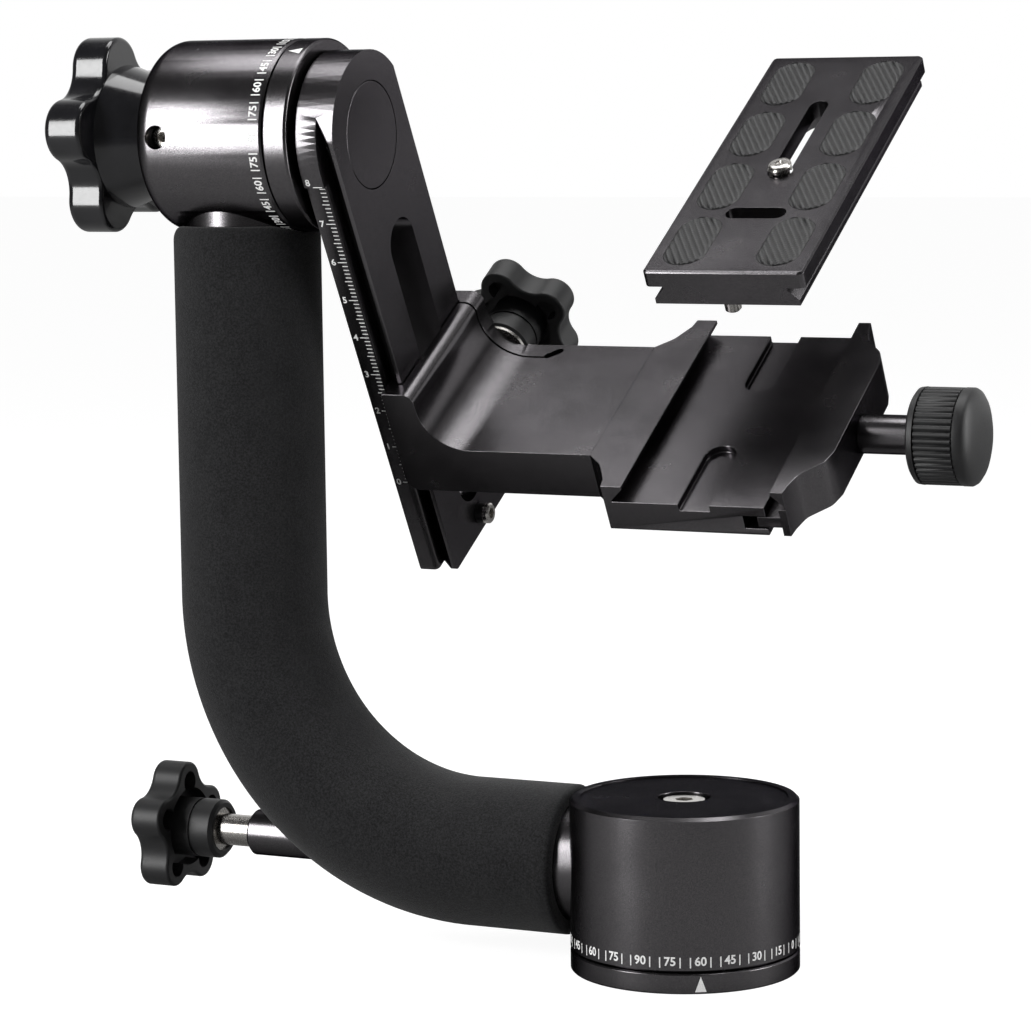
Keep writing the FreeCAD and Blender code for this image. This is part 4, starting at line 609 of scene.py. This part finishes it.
class GIMBAL_OT_tilt_scale(bpy.types.Operator):
    """Print the tilt scale and its pointer"""

    bl_idname = "gimbal.tilt_scale"
    bl_label = "Tilt Scale"

    def lay(self, mark, radius, rise, across):
        """Bends print onto the level drum; rise runs from -Y up, and the print's top is at -X."""
        for vertex in mark.verts:
            turn = rise + vertex.co.x / radius
            reach = radius + vertex.co.z
            place = Vector((across - vertex.co.y, -math.cos(turn) * reach, math.sin(turn) * reach))
            vertex.co = place + TILT_AXIS

    def execute(self, context):
        sizes = context.scene.head_sizes
        radius = sizes.tilt_radius + 0.005 * MM
        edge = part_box("tilt_drum")[1].x
        scale = bmesh.new()
        for step in range(72):
            rise = math.radians(step * 5)
            if step % 3:
                mark = flat_bar(0.3 * MM, 2.5 * MM)
            else:
                value = 90 - abs((step * 5 + 90) % 180 - 90)
                mark = flat_text(str(value), sizes.print_height)
            thicken(mark, sizes.print_proud)
            self.lay(mark, radius, rise, edge - 2.2 * MM)
            join(scale, mark)
        finish_piece("tilt_scale_print", scale, "arm", "anodised_black", "printed_white")
        ring_low, ring_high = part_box("index_ring")
        pointer = flat_triangle(2.5 * MM, 3.4 * MM)
        thicken(pointer, sizes.print_proud)
        self.lay(pointer, radius, math.pi / 2 - TILT_ANGLE, (ring_low.x + ring_high.x) / 2)
        finish_piece("tilt_pointer_print", pointer, "rail", "anodised_black", "printed_white")
        return {"FINISHED"}


class GIMBAL_OT_rail_scale(bpy.types.Operator):
    """Print the rail's scale on the side of its strip"""

    bl_idname = "gimbal.rail_scale"
    bl_label = "Rail Scale"

    def execute(self, context):
        sizes = context.scene.head_sizes
        pitch = 11.095 * MM
        zero_w = -91.1 * MM
        side_v = -19.755 * MM
        boss_v = -20.81 * MM
        back_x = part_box("swing_rail")[0].x
        scale = bmesh.new()
        for tenth in range(81):
            height = zero_w + pitch * tenth / 10
            long = tenth % 10 == 0
            width = (2.5 if long else 2.0 if tenth % 5 == 0 else 1.5) * MM
            face = boss_v if tenth == 80 else side_v
            mark = flat_bar(width, 0.22 * MM)
            thicken(mark, sizes.print_proud)
            self.stand(mark, back_x + 4.9 * MM - width / 2, face, height)
            join(scale, mark)
            if long:
                mark = flat_text(str(tenth // 10), sizes.print_height * 0.86)
                thicken(mark, sizes.print_proud)
                lift = 1.2 * MM if tenth == 80 else 0
                self.stand(mark, back_x + 1.25 * MM, face, height + lift)
                join(scale, mark)
        bmesh.ops.transform(scale, matrix=CRADLE, verts=scale.verts)
        finish_piece("rail_scale_print", scale, "rail", "anodised_black", "printed_white")
        return {"FINISHED"}

    def stand(self, mark, across, face, height):
        """Stands flat print on the strip's side, facing away from the rail."""
        for vertex in mark.verts:
            vertex.co = Vector((across + vertex.co.x, face - vertex.co.z, height + vertex.co.y))


class GIMBAL_OT_pads(bpy.types.Operator):
    """Make the eight ribbed rubber pads of the camera plate"""

    bl_idname = "gimbal.pads"
    bl_label = "Pads"

    def execute(self, context):
        sizes = context.scene.head_sizes
        half_width = 5.6 * MM
        half_length = 10.95 * MM
        pads = bmesh.new()
        for row in range(4):
            for side in (1, -1):
                pad = self.one_pad(half_width, half_length, sizes)
                v = 57.4 * MM + 25.6 * MM * (row - 1.5)
                bmesh.ops.translate(pad, verts=pad.verts, vec=(12.3 * MM * side, v, -42.3 * MM))
                join(pads, pad)
        bmesh.ops.transform(pads, matrix=CRADLE, verts=pads.verts)
        bmesh.ops.recalc_face_normals(pads, faces=pads.faces)
        pad_piece = finish_piece("ribbed_pads", pads, "plate", "rubber", replaced=["rubber_pads"], smooth=50)
        return {"FINISHED"}

    def one_pad(self, half_width, half_length, sizes):
        """An oval pad with crossed ribs, its foot sunk in the plate's pocket."""
        pad = bmesh.new()
        bmesh.ops.create_grid(pad, x_segments=36, y_segments=72, size=1.0)
        straight = half_length - half_width
        for vertex in pad.verts:
            v = vertex.co.y * half_length * 0.9999
            past = max(0.0, abs(v) - straight)
            reach = math.sqrt(max(0.0, half_width * half_width - past * past))
            x = vertex.co.x * reach
            rim = min(1.0, (reach - abs(x)) / (0.5 * MM))
            vertex.co = Vector((x, v, (0.38 * MM - sizes.rib_depth * self.groove(x, v, sizes)) * rim))
        rim_edges = [edge for edge in pad.edges if edge.is_boundary]
        out = bmesh.ops.extrude_edge_only(pad, edges=rim_edges)["geom"]
        skirt = [item for item in out if isinstance(item, bmesh.types.BMVert)]
        for vertex in skirt:
            vertex.co.z = -0.78 * MM
        return pad

    def groove(self, x, v, sizes):
        """How deep the pad is cut at a place: crossed ribs, the long ones wider."""
        along = (x * 0.87 + v * 0.5) / sizes.rib_pitch
        across = (x * 0.5 - v * 0.87) / (sizes.rib_pitch * 0.62)
        wide = abs(along % 1.0 - 0.5) * 2
        fine = abs((across + 0.5 * math.floor(along)) % 1.0 - 0.5) * 2
        return max(max(0.0, wide - 0.45) / 0.55, 0.7 * max(0.0, fine - 0.4) / 0.6)


class GIMBAL_OT_camera_screw(bpy.types.Operator):
    """Make the threaded camera screw"""

    bl_idname = "gimbal.camera_screw"
    bl_label = "Camera Screw"

    def execute(self, context):
        sizes = context.scene.head_sizes
        top = 2.3 * MM
        head_top = -5.45 * MM
        head = head_top - 2.75 * MM
        head_radius = 5.9 * MM
        neck = 2.35 * MM
        core = 2.72 * MM
        tip = top - 0.3 * MM
        mesh = spun([(0, head), (5.5 * MM, head), (head_radius, head + 0.4 * MM),
                     (head_radius, head_top), (neck, head_top), (neck, 0.3 * MM), (core, 0.32 * MM),
                     (core, tip), (2.3 * MM, top), (1.2 * MM, top), (0.9 * MM, tip), (0, tip)], 64)
        ridge = self.thread(sizes.thread_pitch, 2.7 * MM, 3.15 * MM, 0.35 * MM, top - 0.35 * MM)
        join(mesh, ridge)
        bmesh.ops.transform(mesh, matrix=CRADLE @ Matrix.Translation((0, 52.0 * MM, -42.3 * MM)),
                            verts=mesh.verts)
        finish_piece("camera_screw_threaded", mesh, "camera_screw", "steel",
                     replaced=["camera_screw"], smooth=40)
        return {"FINISHED"}

    def thread(self, pitch, core, crest, start, end):
        """The ridge of a thread, wound up the screw."""
        ridge = bmesh.new()
        steps = 32
        foot, land = pitch * 0.42, pitch * 0.08
        corners = [(core, -foot), (crest, -land), (crest, land), (core, foot)]
        points = [ridge.verts.new((radius, 0, start + height)) for radius, height in corners]
        edges = [ridge.edges.new((points[i], points[i + 1])) for i in range(3)]
        turns = (end - start) / pitch
        count = int(steps * turns)
        bmesh.ops.spin(ridge, geom=points + edges, cent=(0, 0, 0), axis=(0, 0, 1),
                       dvec=(0, 0, pitch / steps), angle=FULL_TURN * count / steps, steps=count,
                       use_duplicate=False)
        for vertex in ridge.verts:
            vertex.co.z = min(max(vertex.co.z, start - 0.03 * MM), end + 0.03 * MM)
        bmesh.ops.recalc_face_normals(ridge, faces=ridge.faces)
        return ridge


class GIMBAL_OT_clamp_knob(bpy.types.Operator):
    """Make the ribbed clamp knob"""

    bl_idname = "gimbal.clamp_knob"
    bl_label = "Clamp Knob"

    def execute(self, context):
        ribs = context.scene.stage_settings.knurls
        outer = 12.04 * MM
        ribbed = 11.75
        rings = [(0.0, 10.9), (0.7, 11.85), (1.9, 12.0), (2.05, 11.3), (2.3, ribbed), (11.6, ribbed),
                 (11.9, 11.3), (12.05, 12.0), (13.9, 12.0), (14.6, 11.6), (15.4, 10.4), (16.1, 8.4),
                 (16.6, 5.2), (16.75, 2.4)]
        mesh = bmesh.new()
        bmesh.ops.create_circle(mesh, segments=ribs * 8, radius=rings[0][1] * MM, cap_ends=True)
        edges = list(mesh.edges)
        for height, radius in rings[1:]:
            out = bmesh.ops.extrude_edge_only(mesh, edges=edges)["geom"]
            edges = [item for item in out if isinstance(item, bmesh.types.BMEdge)]
            for vertex in [item for item in out if isinstance(item, bmesh.types.BMVert)]:
                turn = math.atan2(vertex.co.y, vertex.co.x)
                reach = radius * MM
                if radius == ribbed:
                    wave = abs((turn * ribs / FULL_TURN) % 1.0 - 0.5) * 2
                    reach = outer - 0.1 * MM - 0.6 * MM * max(0.0, wave - 0.42) / 0.58
                vertex.co = Vector((math.cos(turn) * reach, math.sin(turn) * reach, height * MM))
        bmesh.ops.contextual_create(mesh, geom=edges)
        bmesh.ops.recalc_face_normals(mesh, faces=mesh.faces)
        bmesh.ops.rotate(mesh, verts=mesh.verts, cent=(0, 0, 0), matrix=Matrix.Rotation(math.pi / 2, 3, "Y"))
        place = CRADLE @ Matrix.Translation((44.7 * MM, 0, -85.67 * MM))
        bmesh.ops.transform(mesh, matrix=place, verts=mesh.verts)
        finish_piece("clamp_knob_ribbed", mesh, "jaw_screw", "anodised_black", "knob_matte",
                     replaced=["clamp_knob"], smooth=40)
        return {"FINISHED"}


def camera_axes():
    """The camera's right, up and forward directions in the photograph."""
    azimuth = math.radians(VIEW_AZIMUTH)
    elevation = math.radians(VIEW_ELEVATION)
    roll = math.radians(VIEW_ROLL)
    forward = Vector((-math.sin(azimuth) * math.cos(elevation), math.cos(azimuth) * math.cos(elevation),
                      -math.sin(elevation)))
    level = Vector((math.cos(azimuth), math.sin(azimuth), 0))
    up = level.cross(forward)
    right = level * math.cos(roll) + up * math.sin(roll)
    return right, up * math.cos(roll) - level * math.sin(roll), forward


class GIMBAL_OT_stage(bpy.types.Operator):
    """Set the camera, the floor, the lamps and the surroundings"""

    bl_idname = "gimbal.stage"
    bl_label = "Stage"

    def execute(self, context):
        settings = context.scene.stage_settings
        self.camera(context)
        self.floor()
        self.world(context, settings)
        middle = Vector((-40, 10, 110)) * MM
        self.lamp("left_lamp", middle, -34, 4, 0.9, (0.26, 1.1), settings.left_lamp)
        self.lamp("right_lamp", middle, 104, 6, 0.9, (0.24, 1.0), settings.right_lamp)
        self.lamp("top_lamp", middle, 180, 84, 0.8, (0.9, 0.34), settings.top_lamp)
        context.scene.view_settings.view_transform = "Standard"
        return {"FINISHED"}

    def camera(self, context):
        """The camera at the photographed view."""
        right, up, forward = camera_axes()
        data = bpy.data.cameras.new("photo_camera")
        data.sensor_width = 36.0
        data.lens = VIEW_FOCAL / VIEW_HEIGHT * data.sensor_width
        data.clip_start = 0.05
        data.clip_end = 50
        camera = bpy.data.objects.new("photo_camera", data)
        context.scene.collection.objects.link(camera)
        turn = Matrix((right, up, -forward)).transposed().to_4x4()
        camera.matrix_world = Matrix.Translation(VIEW_TARGET - forward * VIEW_DISTANCE) @ turn
        context.scene.camera = camera

    def lamp(self, name, middle, azimuth, elevation, distance, size, radiance):
        """A soft lamp aimed at the middle; azimuth runs from -Y towards +X."""
        side = math.radians(azimuth)
        rise = math.radians(elevation)
        away = Vector((math.sin(side) * math.cos(rise), -math.cos(side) * math.cos(rise), math.sin(rise)))
        data = bpy.data.lights.new(name, "AREA")
        data.shape = "RECTANGLE"
        data.size, data.size_y = size
        data.energy = radiance * math.pi * size[0] * size[1]
        lamp = bpy.data.objects.new(name, data)
        bpy.context.scene.collection.objects.link(lamp)
        lamp.location = middle + away * distance
        lamp.rotation_euler = away.to_track_quat("Z", "Y").to_euler()

    def seen_directly(self, tree):
        """One for rays from the camera, from gloss and through glass."""
        path = tree.nodes.new("ShaderNodeLightPath")
        first = tree.nodes.new("ShaderNodeMath")
        first.operation = "MAXIMUM"
        second = tree.nodes.new("ShaderNodeMath")
        second.operation = "MAXIMUM"
        tree.links.new(path.outputs["Is Camera Ray"], first.inputs[0])
        tree.links.new(path.outputs["Is Glossy Ray"], first.inputs[1])
        tree.links.new(first.outputs[0], second.inputs[0])
        tree.links.new(path.outputs["Is Transmission Ray"], second.inputs[1])
        return path, second.outputs[0]

    def floor(self):
        """A pale floor that keeps the head's soft shadow."""
        mesh = bmesh.new()
        bmesh.ops.create_grid(mesh, x_segments=1, y_segments=1, size=6.0)
        data = bpy.data.meshes.new("floor")
        mesh.to_mesh(data)
        mesh.free()
        floor = bpy.data.objects.new("floor", data)
        bpy.context.scene.collection.objects.link(floor)
        material = bpy.data.materials.new("floor_white")
        material.use_nodes = True
        tree = material.node_tree
        tree.nodes.clear()
        output = tree.nodes.new("ShaderNodeOutputMaterial")
        paint = tree.nodes.new("ShaderNodeBsdfDiffuse")
        paint.inputs["Color"].default_value = (0.3, 0.3, 0.3, 1)
        glow = tree.nodes.new("ShaderNodeEmission")
        glow.inputs["Color"].default_value = (1, 1, 1, 1)
        both = tree.nodes.new("ShaderNodeAddShader")
        path = tree.nodes.new("ShaderNodeLightPath")
        share = tree.nodes.new("ShaderNodeMath")
        share.operation = "MULTIPLY"
        share.inputs[1].default_value = 0.9
        tree.links.new(path.outputs["Is Camera Ray"], share.inputs[0])
        tree.links.new(share.outputs[0], glow.inputs["Strength"])
        tree.links.new(paint.outputs[0], both.inputs[0])
        tree.links.new(glow.outputs[0], both.inputs[1])
        tree.links.new(both.outputs[0], output.inputs["Surface"])
        data.materials.append(material)

    def world(self, context, settings):
        """White where it is seen directly, brighter behind than in front for the gloss."""
        world = bpy.data.worlds.new("studio")
        context.scene.world = world
        world.use_nodes = True
        tree = world.node_tree
        tree.nodes.clear()
        output = tree.nodes.new("ShaderNodeOutputWorld")
        ambient = tree.nodes.new("ShaderNodeBackground")
        ambient.inputs["Strength"].default_value = settings.world
        ambient.inputs["Color"].default_value = (1, 1, 1, 1)
        white = tree.nodes.new("ShaderNodeBackground")
        white.inputs["Color"].default_value = (1, 1, 1, 1)
        path, seen = self.seen_directly(tree)
        place = tree.nodes.new("ShaderNodeTexCoord")
        split = tree.nodes.new("ShaderNodeSeparateXYZ")
        tree.links.new(place.outputs["Generated"], split.inputs[0])
        behind = tree.nodes.new("ShaderNodeMapRange")
        behind.inputs["From Min"].default_value = 0.25
        behind.inputs["From Max"].default_value = 0.95
        behind.inputs["To Min"].default_value = 0.06
        behind.inputs["To Max"].default_value = settings.backdrop
        tree.links.new(split.outputs["Y"], behind.inputs["Value"])
        strongest = tree.nodes.new("ShaderNodeMath")
        strongest.operation = "MAXIMUM"
        tree.links.new(path.outputs["Is Camera Ray"], strongest.inputs[0])
        tree.links.new(behind.outputs[0], strongest.inputs[1])
        tree.links.new(strongest.outputs[0], white.inputs["Strength"])
        mix = tree.nodes.new("ShaderNodeMixShader")
        tree.links.new(seen, mix.inputs[0])
        tree.links.new(ambient.outputs[0], mix.inputs[1])
        tree.links.new(white.outputs[0], mix.inputs[2])
        tree.links.new(mix.outputs[0], output.inputs["Surface"])


PIECE_OPERATORS = (
    GIMBAL_OT_finishes,
    GIMBAL_OT_machined_parts,
    GIMBAL_OT_foam_grip,
    GIMBAL_OT_pan_scale,
    GIMBAL_OT_tilt_scale,
    GIMBAL_OT_rail_scale,
    GIMBAL_OT_pads,
    GIMBAL_OT_camera_screw,
    GIMBAL_OT_clamp_knob,
    GIMBAL_OT_stage,
)


class GIMBAL_PT_panel(bpy.types.Panel):
    """Lists the steps that dress the head"""

    bl_idname = "GIMBAL_PT_panel"
    bl_label = "Gimbal Head"
    bl_space_type = "VIEW_3D"
    bl_region_type = "UI"
    bl_category = "Gimbal"

    def draw(self, context):
        for operator in PIECE_OPERATORS:
            self.layout.operator(operator.bl_idname)
        for group in (context.scene.head_sizes, context.scene.head_colours, context.scene.stage_settings):
            box = self.layout.box()
            for name in group.__annotations__:
                box.prop(group, name)


CLASSES = (HeadSizes, HeadColours, StageSettings, *PIECE_OPERATORS, GIMBAL_PT_panel)


def register():
    for one in CLASSES:
        bpy.utils.register_class(one)
    bpy.types.Scene.head_sizes = PointerProperty(type=HeadSizes)
    bpy.types.Scene.head_colours = PointerProperty(type=HeadColours)
    bpy.types.Scene.stage_settings = PointerProperty(type=StageSettings)


def unregister():
    del bpy.types.Scene.stage_settings
    del bpy.types.Scene.head_colours
    del bpy.types.Scene.head_sizes
    for one in reversed(CLASSES):
        bpy.utils.unregister_class(one)


def main():
    register()
    for operator in PIECE_OPERATORS:
        group, name = operator.bl_idname.split(".")
        getattr(getattr(bpy.ops, group), name)()


if __name__ == "__main__":
    main()
